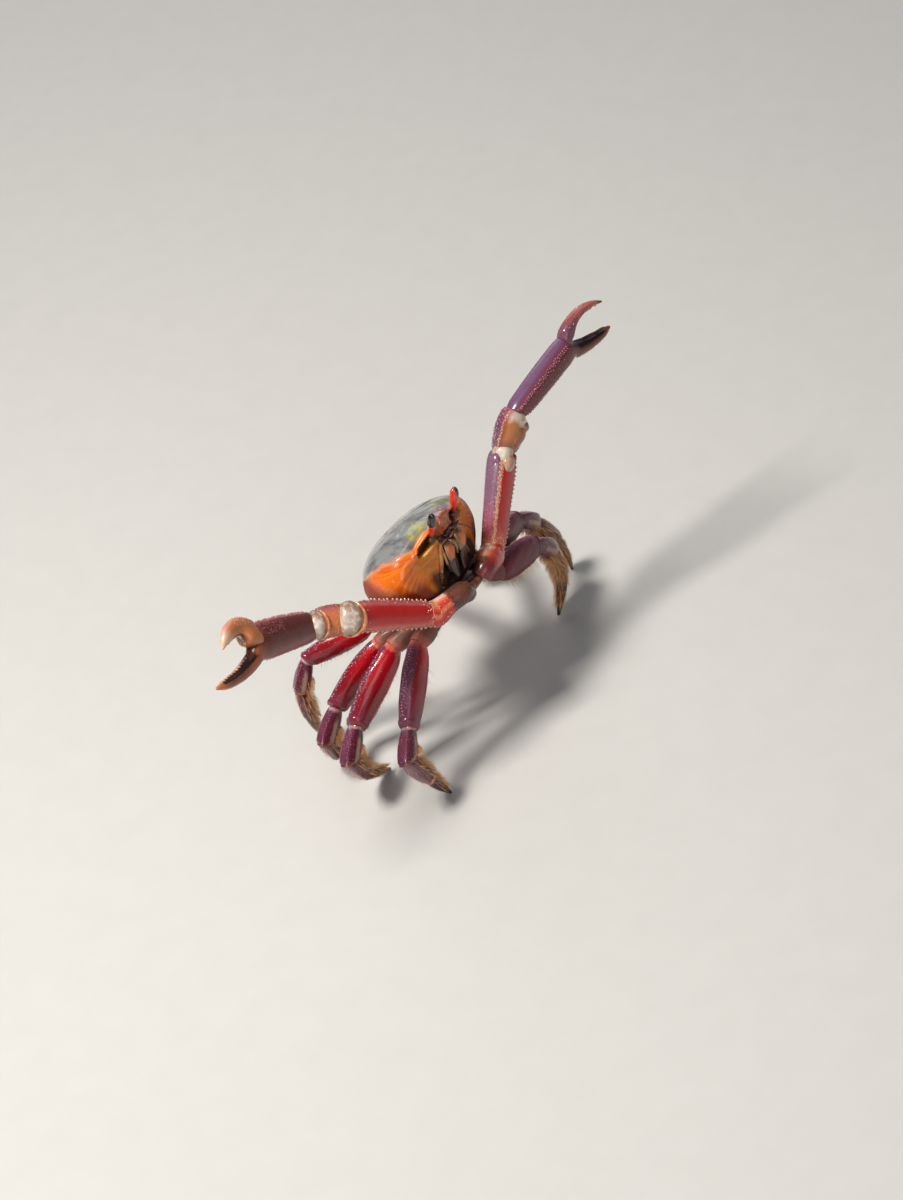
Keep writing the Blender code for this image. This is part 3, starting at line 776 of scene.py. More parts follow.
def sculptShell(p):
    # mouth hollow, orbit slots with blade-like rims, front lobe, side margin, back grooves
    x, y, z = p[..., 0], p[..., 1], p[..., 2]
    ax, sx = abs(x), np.sign(x)
    o = orbit
    out = p.copy()
    front = ease(y, -15, -19)
    full = 7.6 + 0.3 * np.clip(5 - z, 0, 16)
    mouth = ease(ax, full + 2.5, full - 0.4) * ease(z, 6.0, 3.0) * ease(y, -12, -19)
    out[..., 1] += mouth * (0.9 + 0.3 * np.clip(2 - z, 0, 13))

    line = slotLine(ax)
    across = (z - line) / (o["tall"] * (0.55 + 0.45 * ease(ax, o["to"] + 1, 11)))
    along = ease(ax, o["from"] - 1.2, o["from"] + 1.8) * ease(ax, o["to"] + 0.8, o["to"] - 4.5)
    slot = np.clip(1 - across**2, 0, 1) ** 0.7 * along * front
    out[..., 1] += o["deep"] * slot
    blade = bell(across - 1.45, 0.42) * ease(ax, 4.6, 6.5) * ease(ax, 22, 19) * front
    out[..., 1] -= 1.5 * blade
    out[..., 2] += 0.55 * blade
    out[..., 0] += 0.5 * sx * blade * ease(ax, 10, 18)
    sill = bell(across + 1.15, 0.28) * along * front
    out[..., 1] -= 0.7 * sill
    ridge = bell(z - (line - 4.1 + 0.08 * (ax - 8)), 0.55) * ease(ax, 5.5, 7.5) * ease(ax, 20.5,
                                                                                       18) * front
    out[..., 1] -= 0.75 * ridge
    pan = bell(z - (line - 3.1), 0.7) * ease(ax, 7, 9.5) * ease(ax, 19, 16) * front
    out[..., 1] += 0.5 * pan

    lobe = ease(ax, 4.6, 2.2) * ease(z, 8.6, 11.0) * ease(z, 19.5, 16.5) * ease(y, -19, -22)
    out[..., 1] -= 1.3 * lobe
    edge = bell(ax - 3.7, 0.5) * ease(z, 9.2, 10.6) * ease(z, 18.2, 16.8) * ease(y, -19, -22)
    out[..., 1] -= 0.55 * edge
    gutter = bell(ax - 5.0, 0.6) * ease(z, 8.5, 10.0) * ease(z, 16.2, 14.5) * front
    out[..., 1] += 1.0 * gutter
    nook = window(p, (0, -25.0, 7.6), (7.2, 8, 2.3), 0.8)
    out[..., 1] += 2.4 * nook
    corner = window(p, (20.5, -18.5, 9.8), (5.5, 7, 3.2), 1.2)
    out[..., 1] -= 2.4 * corner
    cheek = ease(ax, 9, 14) * ease(z, 7.5, 3.0) * ease(z, -12, -4) * ease(y, -13, -19)
    out[..., 1] += 1.9 * cheek

    seam = bell(z - marginHeight(y), 0.5) * ease(y, -21.5, -19) * ease(y, 16, 6) * ease(ax, 17, 20)
    out[..., 0] += 0.3 * sx * seam
    out[..., 2] += 0.15 * seam
    neck = bell(y + 5 + 0.5 * (ax - 4), 1.3) * ease(ax, 2.5, 5) * ease(ax, 16, 12)
    cross = bell(y - 5, 1.4) * ease(ax, 9, 5)
    out[..., 2] -= (0.35 * neck + 0.3 * cross) * ease(z, 6, 10)
    heart = window(p, (0, 0, 18), (9, 12, 30), 1.5) + window(p, (16, 2, 14), (11, 13, 30), 1.5)
    out[..., 2] += 0.35 * heart * ease(z, 4, 9)
    out += 0.06 * np.sin(p[..., [1, 2, 0]] * 0.7 + p[..., [2, 0, 1]] * 0.43)

    brow = browHeight(ax)
    inFace = ease(z, brow + 0.7, brow - 0.3) * ease(y, -16.5, -19.5)
    # how deep a place lies in an orbit slot, the nook or a gutter; paintShell darkens it as painted shade
    deep = np.clip(slot * 1.5 + nook * 1.0 + gutter * 0.6, 0, 1)
    # the sill and pan are painted yellow as a highlight in the orbit
    lit = np.clip(1.2 * sill + 0.9 * pan, 0, 1)  # yellow sill and pan under the eye
    warm = np.clip(blade * 1.2 + 0.9 * ridge + edge, 0, 1)
    return leanFace(out), np.stack([deep, inFace, lit - warm], -1)


shellBase, shellAngles = shellRows()
shellGrid, shellMarks = sculptShell(shellBase)
shellSleeve = Sleeve(shellGrid, np.linspace(0, 1, len(shellGrid)), shellAngles)


def onShell(guess):  # nearest place of the shell and its normal
    far = ((shellGrid - np.asarray(guess, float)) ** 2).sum(-1)
    i, k = np.unravel_index(far.argmin(), far.shape)
    return shellGrid[i, k], shellSleeve.normals[i, k]


def onFace(x, z):  # front surface at a given side offset and height
    far = (shellGrid[..., 0] - x) ** 2 + (shellGrid[..., 2] - z) ** 2 + 99 * (shellGrid[..., 1] > -9)
    i, k = np.unravel_index(far.argmin(), far.shape)
    return np.array([x, shellGrid[i, k, 1], z]), shellSleeve.normals[i, k]


def buildShell():
    piece = Sculpt("shellBack", inBody=True)
    piece.addSleeve(shellGrid, np.zeros(len(shellGrid)), shellAngles, 0.0)
    piece.limb[0] = np.vstack([shellMarks.reshape(-1, 3), np.zeros((2, 3))])

    def bead(spot, radius, height, shade, sides=8):
        point, normal = spot
        piece.addStud(point, normal, normal, radius, height, sides=sides, shade=shade)

    for side in (-1, 1):
        for k in range(15):  # crumbs along the sill and the ridge under the eye
            ax = 8.0 + 0.82 * k
            for drop, size in ((2.5, 0.3), (4.1, 0.24)):
                point, normal = onFace(side * (ax + chance.normal(0, 0.12)), slotLine(ax) - drop)
                bead((point - normal * 0.1, normal), size * chance.uniform(0.8, 1.2), size * 1.3, 0.7)
        for z in np.arange(10.2, 17.6, 0.62):  # edge of the front lobe
            bead(onFace(side * 3.7, z), 0.26, 0.42, 0.45)
        for _ in range(22):  # crumbs on top of the lobe
            spot = onShell((side * chance.uniform(0.6, 5.5), chance.uniform(-24, -20.5), 19))
            size = chance.uniform(0.12, 0.26)
            bead(spot, size, size * 1.2, 0.4, 6)
        for ax in np.arange(6.0, 19.5, 0.7):  # beads on the brow
            bead(onFace(side * ax, float(browHeight(ax)) - 0.35), 0.2, 0.26, 0.3)
        for y in np.arange(-17.0, 9.0, 1.0):  # beads on the side margin, smaller toward the back
            size = 0.2 - 0.004 * (y + 18)
            bead(onShell((side * 27, y, marginHeight(y))), size, size * 1.2, 0.25)
        for _ in range(60):  # crumbs on the cheek
            spot = onFace(side * chance.uniform(9.5, 20), chance.uniform(-6, 6))
            size = chance.uniform(0.12, 0.24)
            bead(spot, size, size * 1.3, 0.3, 6)
    piece.make(paintShell(), ["carapace"], "carapace_shell", place([(0, 0, 0)])[0])


print("shell and face")
buildShell()

sides = (("L", 1), ("R", -1))
faceTones = tones(
    patch=(226, 112, 48), frame=(168, 122, 80), plate=(62, 34, 28), plateDark=(28, 15, 14),
    ridge=(206, 150, 84), ridgeRed=(184, 98, 50), plum=(88, 38, 44), plumDark=(40, 20, 30),
    pink=(182, 112, 104),
)


plateMesh = {"around": 28, "steps": 40, "power": 2.4, "thick": 0.6, "bulge": 0.35}


def addPlate(piece, path, widths, side):
    # flat oval plate along a path in the body frame
    path = np.asarray(path, float)
    table = [(t, *p, w) for t, p, w in zip(np.linspace(0, 1, len(path)), path, widths)]
    rows, stations, angles = [], np.linspace(0, 1, plateMesh["steps"]), ringAngles(plateMesh["around"])
    x, y = oval(angles, plateMesh["power"])
    crown = plateMesh["thick"] * (1 + plateMesh["bulge"] * (1 - x**2))
    for t in stations:
        *centre, width = smoothRow(t, table)
        rows.append(np.array(centre) + np.outer(x * width, (1, 0.05 * side, 0))
                    + np.outer(y * crown, (-0.12 * side, 1, 0.2)))
    piece.addSleeve(rows, stations, angles, -math.pi / 2)


# paths in the body frame on the crab's left; the right is their mirror image
mouthPlan = {
    "plates": ((((4.5, -22.6, 5.9), (4.8, -23.3, 3.6), (5, -23.1, 1.2), (4.8, -21.7, -2.2)),
                (1.7, 2.8, 3.1, 2.2)),
               (((4.7, -21.4, -2.5), (4.4, -20.6, -4.6), (3.9, -19.4, -8), (3.3, -18.2, -11.4)),
                (2.3, 2.9, 2.6, 1.4))),
    "feelers": ((((2.2, -23.2, 5.6), (1.2, -24, 3.6), (1, -23.6, 1), (1.2, -22.6, -1.8)),
                 (0.85, 0.85, 0.7, 0.3), 24),
                (((7.6, -22, 4.6), (7.9, -21.6, 1.5), (7.8, -20.6, -2.5), (6.9, -19, -7)),
                 (0.45, 0.6, 0.6, 0.5), 24)),
    "rim": ((7.4, 7.4), (8.4, 4.2), (9.2, 0.8), (10, -2.6), (10.9, -6), (12, -9)),
    "lip": ((-6.6, -22.2, 6.6), (-3, -22.8, 6.8), (0, -23, 6.5), (3, -22.8, 6.8), (6.6, -22.2, 6.6)),
    # the last blob is the dark socket round the eye stalk
    "rootBlobs": (((2.1, -22.2, 8.7), (1.9, 1.3, 1.1), 20), ((5.4, -22, 8.5), (1.6, 1.4, 1.2), 20),
                  ((6.7, -22.6, 9.7), (1, 1, 1), 18), ((3.8, -22.6, 7.4), (0.9, 0.8, 0.7), 16),
                  ((9.6, -21.2, 11.4), (2, 1.9, 1.5), 24)),
    "rootTubes": ((((0.8, -22.8, 9.6), (1.8, -24, 9.3), (3.2, -24.1, 8.7), (4.4, -23.3, 9.2)),
                   (0.65, 0.6, 0.5, 0.25), 24),
                  (((0.7, -22.6, 7.9), (1.4, -23.6, 7.2), (2.9, -23.7, 6.9), (4, -23, 7.2)),
                   (0.55, 0.45, 0.35, 0.15), 20),
                  (((5.8, -22.8, 8.3), (7.2, -23.4, 8), (8.2, -23, 8.6)), (0.6, 0.5, 0.3), 18)),
    "feeler": ((4.4, -23, 8), (5.2, -25, 8.2), (6.2, -27, 6.9), (7, -28.6, 4.4), (7.4, -29.2, 2)),
}


def onSide(path, side):
    return [(side * x, y, z) for x, y, z in path]


def buildMouth():
    k = faceTones
    # dark plates with an orange oval patch and pink stripes
    f = Finish("mouthPlates", Roughness=0.3, Coat_Weight=0.4)
    spot = f.mark("spot")
    x, _, z = f.parts(spot)
    fine, broad = f.noise(spot, 1.4, 4), f.noise(spot, 0.4, 3)
    aside, above = x.math("ABSOLUTE") - 5.1, z - 1.5
    patch = aside * aside * 0.19 + above * above * 0.085 + (broad - 0.5) * 0.5
    colour = f.mix(k["plate"], k["plateDark"], fine.step(0.4, 0.65))
    stripes = f.node("TexWave", {"bands_direction": "X"}, {"Vector": spot, "Scale": 0.42,
                                                           "Distortion": 1.5})
    colour = f.mix(colour, k["pink"], stripes.step(0.8, 0.98) * z.step(-1, -3) * 0.22)
    colour = f.mix(colour, k["frame"], z.step(-3.2, -2.2) * broad.step(0.2, 0.5))
    colour = f.mix(colour, k["patch"], patch.step(0.95, 0.7))
    colour = f.mix(colour, k["plateDark"], fine.step(0.6, 0.72) * 0.5)
    relief = f.bump(patch.step(1.1, 0.6), 0.4, 0.4)
    relief = f.bump(fine, 0.4, 0.18, relief)
    plates = f.done(Base_Color=colour, Roughness=0.28 + fine * 0.25, Normal=relief)

    for label, s in sides:
        piece = Sculpt("mouthPlate" + label, inBody=True)
        for path, widths in mouthPlan["plates"]:
            addPlate(piece, onSide(path, s), widths, s)
        for path, sizes, steps in mouthPlan["feelers"]:
            piece.addTube(onSide(path, s), sizes, 12, steps)
        piece.make(plates, ["maxilliped_" + label], "underside_shell", place([(s * 4.5, -23, -2)])[0])

    ridge = paintPlain("mouthRim", k["ridge"], k["ridgeRed"], k["frame"], 0.35, 0.3, 0.9,
                       tone(240, 210, 160))
    frameRim = Sculpt("mouthRim", inBody=True)
    for s in (-1, 1):
        run = [onFace(s * a, b) for a, b in mouthPlan["rim"]]
        tube = frameRim.addTube([p + n * 0.35 for p, n in run], (0.8, 1.15, 1.2, 1.0, 0.7, 0.3), 14, 46)
        for t in np.linspace(0.03, 0.95, 26):  # crumbs along the rim
            middle = tube.middles[int(t * (len(tube.middles) - 1))]
            for _ in range(2):
                way = unit(np.array([0.15 * s, -0.9, 0.3]) + chance.normal(0, 0.4, 3))
                frameRim.addStud(middle + way * 0.75, way, way, 0.26, 0.4, shade=0.9)
    frameRim.addTube(mouthPlan["lip"], (0.4, 0.6, 0.75, 0.6, 0.4), 12, 40)
    frameRim.make(ridge, slot="carapace_shell")

    plum = paintPlain("feelerRoots", k["plum"], k["plumDark"], k["pink"], 0.22, 0.6, 1.0)
    roots = Sculpt("feelerRoots", inBody=True)
    for s in (-1, 1):
        for (x, y, z), radii, count in mouthPlan["rootBlobs"]:
            roots.addBlob((s * x, y, z), radii, count=count)
        for path, sizes, steps in mouthPlan["rootTubes"]:
            roots.addTube(onSide(path, s), sizes, 12, steps)
    roots.make(plum, slot="feeler")
    for label, s in sides:
        piece = Sculpt("feeler" + label, inBody=True)
        piece.addTube(onSide(mouthPlan["feeler"], s), (0.6, 0.42, 0.34, 0.26, 0.12), 10, 44)
        piece.make(plum, ["antenna_" + label], "feeler")


# base and tip of the left stalk, its size along the way; the eye sits on its outer side
eyePlan = {
    "red": tone(222, 36, 12), "deep": tone(120, 18, 12), "ember": tone(240, 86, 30),
    "root": tone(60, 18, 24),
    "base": (9.7, -21.5, 11.8), "tip": (9.8, -29, 23.1), "bow": 0.5,
    "sizes": ((0, 1.3), (0.1, 1.25), (0.25, 1.45), (0.5, 1.85), (0.8, 1.8), (0.92, 1.4), (0.98, 0.8),
              (1, 0.3)),
    "lens": (1.8, 2, 4.2), "lensAt": 0.71, "faces": {"L": (0.95, -0.1, 0.1), "R": (-0.9, -0.35, 0.1)},
}


def buildEyes():
    look = eyePlan
    f = Finish("eyeStalk", Roughness=0.2, Coat_Weight=0.7, Coat_Roughness=0.08)
    spot = f.mark("spot")
    along, *_ = f.parts(f.mark("limb"))
    fine, broad = f.noise(spot, 1.6, 4), f.noise(spot, 0.5, 3)
    colour = f.mix(look["red"], look["ember"], broad.step(0.45, 0.7) * 0.7)
    colour = f.mix(colour, look["deep"], fine.step(0.5, 0.7) * 0.5)
    colour = f.mix(colour, look["root"], along.step(0.3, 0.06))
    stalkSkin = f.done(Base_Color=colour, Roughness=0.2 + fine * 0.2, Normal=f.bump(fine, 0.3, 0.14))
    cornea = paintCornea()
    for label, s in sides:
        base, tip = np.array(onSide([look["base"], look["tip"]], s))
        stations = np.linspace(0, 1, 44)
        centres = [base + (tip - base) * t - np.array((0, look["bow"], 0)) * math.sin(t * math.pi)
                   for t in stations]
        sizes = [(smoothRow(t, look["sizes"])[0],) * 2 for t in stations]
        face = unit(look["faces"][label])
        rows = tubeRows(centres, sizes, face, 28, 2.0)
        stalk = Sculpt("eyeStalk" + label, inBody=True)
        stalk.addSleeve(rows, stations, ringAngles(28), 0.0)
        stalk.make(stalkSkin, ["eye_" + label], "eye_stalk", place([base])[0])
        lens = Sculpt("cornea" + label, inBody=True)
        up = unit(tip - base)
        across = unit(np.cross(up, face))
        face = np.cross(across, up)
        middle = base + (tip - base) * look["lensAt"] + face * 0.42 + np.array((0, -0.4, 0))
        lens.addBlob(middle, look["lens"], (face, across, up), count=36)
        lens.make(cornea, slot="eye_stalk")


buildMouth()
buildEyes()


# rows of station, half width, bottom, top; groove is the distance between the cross grooves
undersidePlan = {
    "breastPlate": {"node": "thorax", "around": 72, "groove": 6.2, "rows": (
        (-20, 9, -21, -17.4), (-17, 13, -23, -17.4), (-8, 15.5, -24, -17.4),
        (2, 16.5, -24, -17.4), (10, 15, -23, -15.8), (16, 10, -20.5, -13.8))},
    "tailFlap": {"node": "abdomen", "around": 48, "groove": 5.3, "rows": (
        (-12, 1.6, -25.6, -24.3), (-6, 3.6, -26, -24.3), (4, 5.6, -26.2, -24.3),
        (12, 7.2, -25.6, -23.4), (17, 8, -23.6, -21), (20, 7.6, -21.2, -18.4))},
}


def buildUnderside():
    skin = paintPlain("breastPlate", tone(112, 64, 48), tone(166, 104, 78), tone(52, 26, 22), 0.4, 0.25,
                      0.9)
    for name, plan in undersidePlan.items():
        table, count = plan["rows"], plan["around"]
        piece = Sculpt(name, inBody=True)
        rows, stations = [], np.linspace(table[0][0], table[-1][0], 90)
        for y in stations:
            width, bottom, top = smoothRow(y, table)
            dip = 0.5 * bell((y / plan["groove"]) % 1 - 0.5, 0.12)
            x, z = oval(ringAngles(count), 2.8)
            depth = (top - bottom) / 2
            side = np.clip(abs(x) * 2.2 - 0.5, 0, 1)
            rows.append(np.stack([x * (width - dip * 0.8), np.full(count, y),
                                  (top + bottom) / 2 + z * (depth - dip * (0.3 + 0.7 * side))], 1))
        for end, way in ((0, -1), (-1, 1)):  # rounded ends
            last = rows[end]
            middle = last.mean(axis=0)
            caps = [middle + (last - middle) * w + np.array((0, way * d, 0))
                    for w, d in ((0.9, 0.5), (0.7, 0.9), (0.3, 1.1))]
            rows = rows + caps if way > 0 else caps[::-1] + rows
        piece.addSleeve(rows, np.linspace(0, 1, len(rows)), ringAngles(count), -math.pi / 2)
        piece.make(skin, [plan["node"]], "underside_shell", place([(0, 0, -20)])[0])


print("underside")
buildUnderside()


# where along a hair its rings stand, the first just below the skin; spread is its patch of the map
hairMesh = {"rings": (-0.06, 0.2, 0.45, 0.7, 0.88), "taper": 0.55, "spread": 0.003}


def growHairs(piece, hairs, width):
    # tapered three-sided strands; a hair has its root, first and last way, length and map place
    roots, starts, ends, lengths, places = (np.array(values) for values in zip(*hairs))
    starts, ends, lengths, count = unit(starts), unit(ends), lengths[:, None], len(roots)
    side = unit(np.cross(starts, unit(chance.normal(size=(count, 3)))))
    other = np.cross(starts, side)
    own = chance.random(count)
    rings, spread = hairMesh["rings"], hairMesh["spread"]
    rows, marks, maps = [], [], []
    for s in rings:
        centre = roots + lengths * ((s - s * s / 2) * starts + s * s / 2 * ends)
        size = width * (1 - max(s, 0)) ** hairMesh["taper"] * (0.8 + 0.4 * own[:, None])
        for k in range(3):
            a = 2 * math.pi * k / 3
            rows.append(centre + size * (math.cos(a) * side + math.sin(a) * other))
            marks.append(np.stack([np.full(count, max(s, 0)), own, own * 0], 1))
            maps.append(places + spread * np.array((k / 3 - 0.33, s - 0.5)))
    rows.append(roots + lengths * (starts + ends) / 2)
    marks.append(np.stack([np.ones(count), own, own * 0], 1))
    maps.append(places + spread * np.array((0.0, 0.5)))
    per = len(rows)
    points = np.stack(rows, 1).reshape(-1, 3)
    quads, tris = [], [(0, 2, 1)]
    for i in range(len(rings) - 1):
        for k in range(3):
            n = (k + 1) % 3
            quads.append((i * 3 + k, i * 3 + n, i * 3 + 3 + n, i * 3 + 3 + k))
    tris += [(per - 4 + k, per - 4 + (k + 1) % 3, per - 1) for k in range(3)]
    firsts = np.arange(count)[:, None, None] * per
    quads = (np.array(quads)[None] + firsts).reshape(-1, 4)
    tris = (np.array(tris)[None] + firsts).reshape(-1, 3)
    piece.add(points, [quads, tris], np.stack(marks, 1).reshape(-1, 3), 0.0,
              np.stack(maps, 1).reshape(-1, 2))


def tuftOn(piece, sleeve, count, alongs, middle, spread, length, lean, droop, width, chart, clump=1.0):
    # wet hair over part of a limb: roots scattered, tips gathered in clumps
    bunches = max(6, int(count / 26))
    bunchAt = [(chance.uniform(*alongs), middle + chance.normal(0, spread * 0.6))
               for _ in range(bunches)]
    bunchWay = chance.normal(0, 0.28, (bunches, 3))
    hairs = []
    for _ in range(count):
        t = chance.uniform(*alongs)
        turn = middle + np.clip(chance.normal(0, spread * 0.62), -spread, spread)
        point, normal, ahead = sleeve.at(t, math.radians(turn))
        gaps = [((t - a) * 3) ** 2 + ((turn - b) / 60) ** 2 for a, b in bunchAt]
        k = int(np.argmin(gaps))
        target, lead, _ = sleeve.at(bunchAt[k][0], math.radians(bunchAt[k][1]))
        offCentre = math.cos(math.radians(turn - middle))
        size = length * chance.uniform(0.7, 1.15) * (0.65 + 0.35 * offCentre)
        start = unit(normal + lean * ahead + chance.normal(0, 0.12, 3))
        end = unit(lead * 0.5 + ahead * (lean + 0.35) + np.array((0, 0, -droop)) + bunchWay[k]
                   + clump * (target - point) / max(size, 1))
        hairs.append((point, start, end, size, (chart[0] + t * chart[1], (turn % 360) / 360)))
    growHairs(piece, hairs, width)


legTones = tones(
    crimson=(186, 10, 26), ruby=(136, 6, 22), wine=(84, 10, 24), plum=(108, 46, 72), dusk=(70, 28, 46),
    rose=(214, 112, 92), flesh=(118, 76, 60), brown=(54, 30, 25), soot=(34, 20, 22), bone=(208, 170, 146),
    pale=(222, 184, 186), tan=(176, 104, 62), orchid=(132, 66, 96), pearl=(222, 206, 222),
    garnet=(112, 44, 46), cherry=(122, 14, 44), aubergine=(72, 20, 50),
)
# a segment takes the skin named for its leg, then for its side, then for the segment alone
legSkins = {
    "hip": skin("legHip", "flesh", "bone", specks=0.5, gloss=0.42, coat=0.12, dark=1, layers=(
        ("brown", 0.85, ("face", 0.5, -0.3)), ("bone", 0.5, ("turn", 0.3, 0.9)),
        ("rose", 0.5, ("along", 0.75, 1)), ("brown", 0.8, ("along", 0.5, 0.1)))),
    "hipL": skin("legHipLeft", "garnet", "bone", specks=0.4, gloss=0.4, coat=0.15, dark=1, layers=(
        ("wine", 0.7, ("face", 0.5, -0.3)), ("flesh", 0.5, ("turn", 0.2, 0.9)),
        ("brown", 0.7, ("along", 0.5, 0.1)))),
    "merusR2": skin("legThighFront", "plum", "pearl", specks=0.8, speckAt=("face", 0.85, 0.4), gloss=0.24,
        coat=0.4, layers=(
        ("ruby", 1, ("face", 0.35, 0.75)), ("crimson", 0.8, ("face", 0.6, 1), ("along", 0.45, 0.1)),
        ("orchid", 0.8, ("face", 0.3, -0.2)), ("plum", 0.75, ("along", 0.5, 0.95)),
        ("rose", 0.8, ("along", 0.08, 0)))),
    "merus": skin("legThigh", "plum", "pearl", specks=1, speckAt=("face", 0.25, -0.1), gloss=0.16,
        coat=0.6, layers=(
        ("ruby", 1, ("face", -0.05, 0.3)), ("crimson", 0.95, ("face", 0.1, 0.6), ("along", 0.7, 0.3)),
        ("dusk", 0.7, ("face", -0.2, -0.7)), ("plum", 0.5, ("along", 0.65, 1)),
        ("rose", 0.85, ("along", 0.06, 0)))),
    # the left legs' thighs, on the far side, take darker tones than the right ones: painted shade
    "merusL": skin("legThighLeftShaded", "cherry", "pale", specks=0.4, speckAt=("turn", -0.5, -0.8), gloss=0.3,
        coat=0.12, layers=(
        ("wine", 0.6, ("face", 0.3, 0.9)), ("aubergine", 0.85, ("turn", -0.6, -0.9)),
        ("orchid", 0.5, ("turn", -0.88, -1)), ("aubergine", 0.6, ("along", 0.7, 1)))),
    "carpus": skin("legKnee", "plum", "pale", specks=0.7, gloss=0.17, coat=0.6, layers=(
        ("wine", 0.7, ("face", 0.3, 0.9)), ("dusk", 0.6, ("along", 0.5, 1)),
        ("bone", 0.55, ("turn", -0.25, 0.05), ("turn", 0.4, 0.15), ("along", 0.2, 0.4)),
        ("pale", 0.6, ("along", 0.1, 0)), ("tan", 0.6, ("along", 0.82, 1), ("face", 0, 0.6)))),
    "propodus": skin("legShin", "plum", "pale", specks=0.6, speckAt=("turn", 0.2, -0.3), gloss=0.2,
        coat=0.5, layers=(
        ("brown", 0.8, ("turn", 0.1, 0.6)), ("wine", 0.6, ("face", 0.2, 0.8)),
        ("pale", 0.22, ("turn", -0.5, -0.8), ("along", 0.5, 0.15)), ("dusk", 0.7, ("along", 0.5, 1)))),
    "dactyl": skin("legTip", "dusk", "pale", specks=0.3, gloss=0.25, coat=0.4, layers=(
        ("brown", 0.6, ("face", 0.2, 0.8)), ("soot", 0.9, ("along", 0.25, 0.8)))),
}
legSlots = {"hip": "joint_shell", "merus": "leg_thigh_shell", "carpus": "leg_knee_shell",
            "propodus": "leg_shin_shell", "dactyl": "leg_tip_shell"}
hairTones = {"gold": (tone(158, 92, 42), tone(232, 156, 80), tone(255, 214, 160)),
             "straw": (tone(150, 104, 60), tone(214, 170, 112), tone(240, 214, 170)),
             "black": (tone(22, 16, 14), tone(40, 28, 24), tone(84, 62, 48))}
# segment, count, from and to along it, middle angle, spread, length, lean, droop, width, map strip
legHair = (
    (2, 170, (0.45, 1), 180, 75, 5, 0.7, 0.5, 0.085, (0.02, 0.25)),
    (3, 520, (0, 1), 180, 100, 6, 0.75, 0.45, 0.09, (0.3, 0.32)),
    (3, 70, (0.1, 1), 0, 70, 2.2, 1.2, 0.2, 0.06, (0.3, 0.32)),
    (4, 360, (0, 0.72), 180, 130, 4.2, 1.1, 0.2, 0.08, (0.64, 0.32)),
)
# length and count of the hairs below the thigh
fringes = {"L2": (7.5, 150), "R2": (6.0, 90)}
plainFringe = (3.6, 46)
softJoint = {"tones": (tone(206, 150, 128), tone(160, 84, 62), tone(90, 44, 40)), "size": 2.6,
             "aside": 1.2}


def legRelief(part):
    # keels, grooves and dents of a segment, in millimetres, by place along and angle
    def relief(t, angles):
        a = (np.degrees(angles) + 180) % 360 - 180
        if part == "merus":
            crest = 0.35 * bell(a, 16) + 0.22 * bell(abs(a) - 150, 14)
            groove = 0.2 * bell(t - 0.92, 0.01) * ease(np.cos(angles), -0.2, 0.6)
            ripple = 0.05 * np.sin(7 * angles + 19 * t)
            return crest * math.sin(math.pi * min(1, t * 1.1)) ** 0.5 - groove + ripple
        if part == "carpus":
            crest = 0.3 * bell(a - 30, 12) + 0.3 * bell(a + 30, 12)
            return crest * ease(t, 0.15, 0.5) - 0.3 * bell(t - 0.93, 0.02)
        if part == "propodus":
            return 0.22 * bell(abs(a) - 28, 12) - 0.2 * bell(t - 0.94, 0.02)
        if part == "dactyl":
            return 0.28 * np.cos(6 * angles) * math.sin(math.pi * min(1, t + 0.1)) * 0.6
        return 0.12 * np.sin(3 * angles + 9 * t) - 0.3 * bell(t - 0.55, 0.03)
    return relief


def legStuds(part):
    # tubercles of a segment: along, angle, radius, height, lean
    if part == "merus":
        crest = [(t, chance.normal(2, 5), 0.3, 0.5, 0.3) for t in np.linspace(0.12, 0.88, 24)]
        under = [(t, chance.choice((-152, 152)) + chance.normal(0, 3), 0.26, 0.45, 0.3)
                 for t in np.linspace(0.15, 0.88, 26)]
        grit = [(chance.uniform(0.08, 0.9), chance.normal(0, 26), chance.uniform(0.1, 0.2), 0.16, 0)
                for _ in range(60)]
        return crest + under + grit
    if part in ("carpus", "propodus"):
        return [(t, turn + chance.normal(0, 3), 0.22, 0.34, 0.2)
                for turn in (-30, 30) for t in np.linspace(0.15, 0.9, 13)]
    return []


def addSoftJoints(piece, joints, sleeves, girth, facing):
    # a short sleeve of skin across each gap, and a pad on the inside of the bend
    for i, (a, b) in enumerate(zip(sleeves, sleeves[1:])):
        ends = [a.rows[-2], a.rows[-1], b.rows[0], b.rows[1]]
        middles = [r.mean(axis=0) for r in ends]
        rows = [m + (r - m) * w for m, r, w in zip(middles, ends, (0.8, 0.85, 0.93, 0.8))]
        piece.addSleeve(rows, np.linspace(0, 1, 4), a.angles, facing)
        ahead = unit(a.middles[-1] - a.middles[-6])
        inside = unit(unit(b.middles[5] - b.middles[0]) - ahead + 1e-6)
        pad = np.full(3, softJoint["size"] * girth)
        piece.addBlob(joints[i + 1] + inside * softJoint["aside"] * girth, pad, None, (0.5, 0.6, 0),
                      count=20)


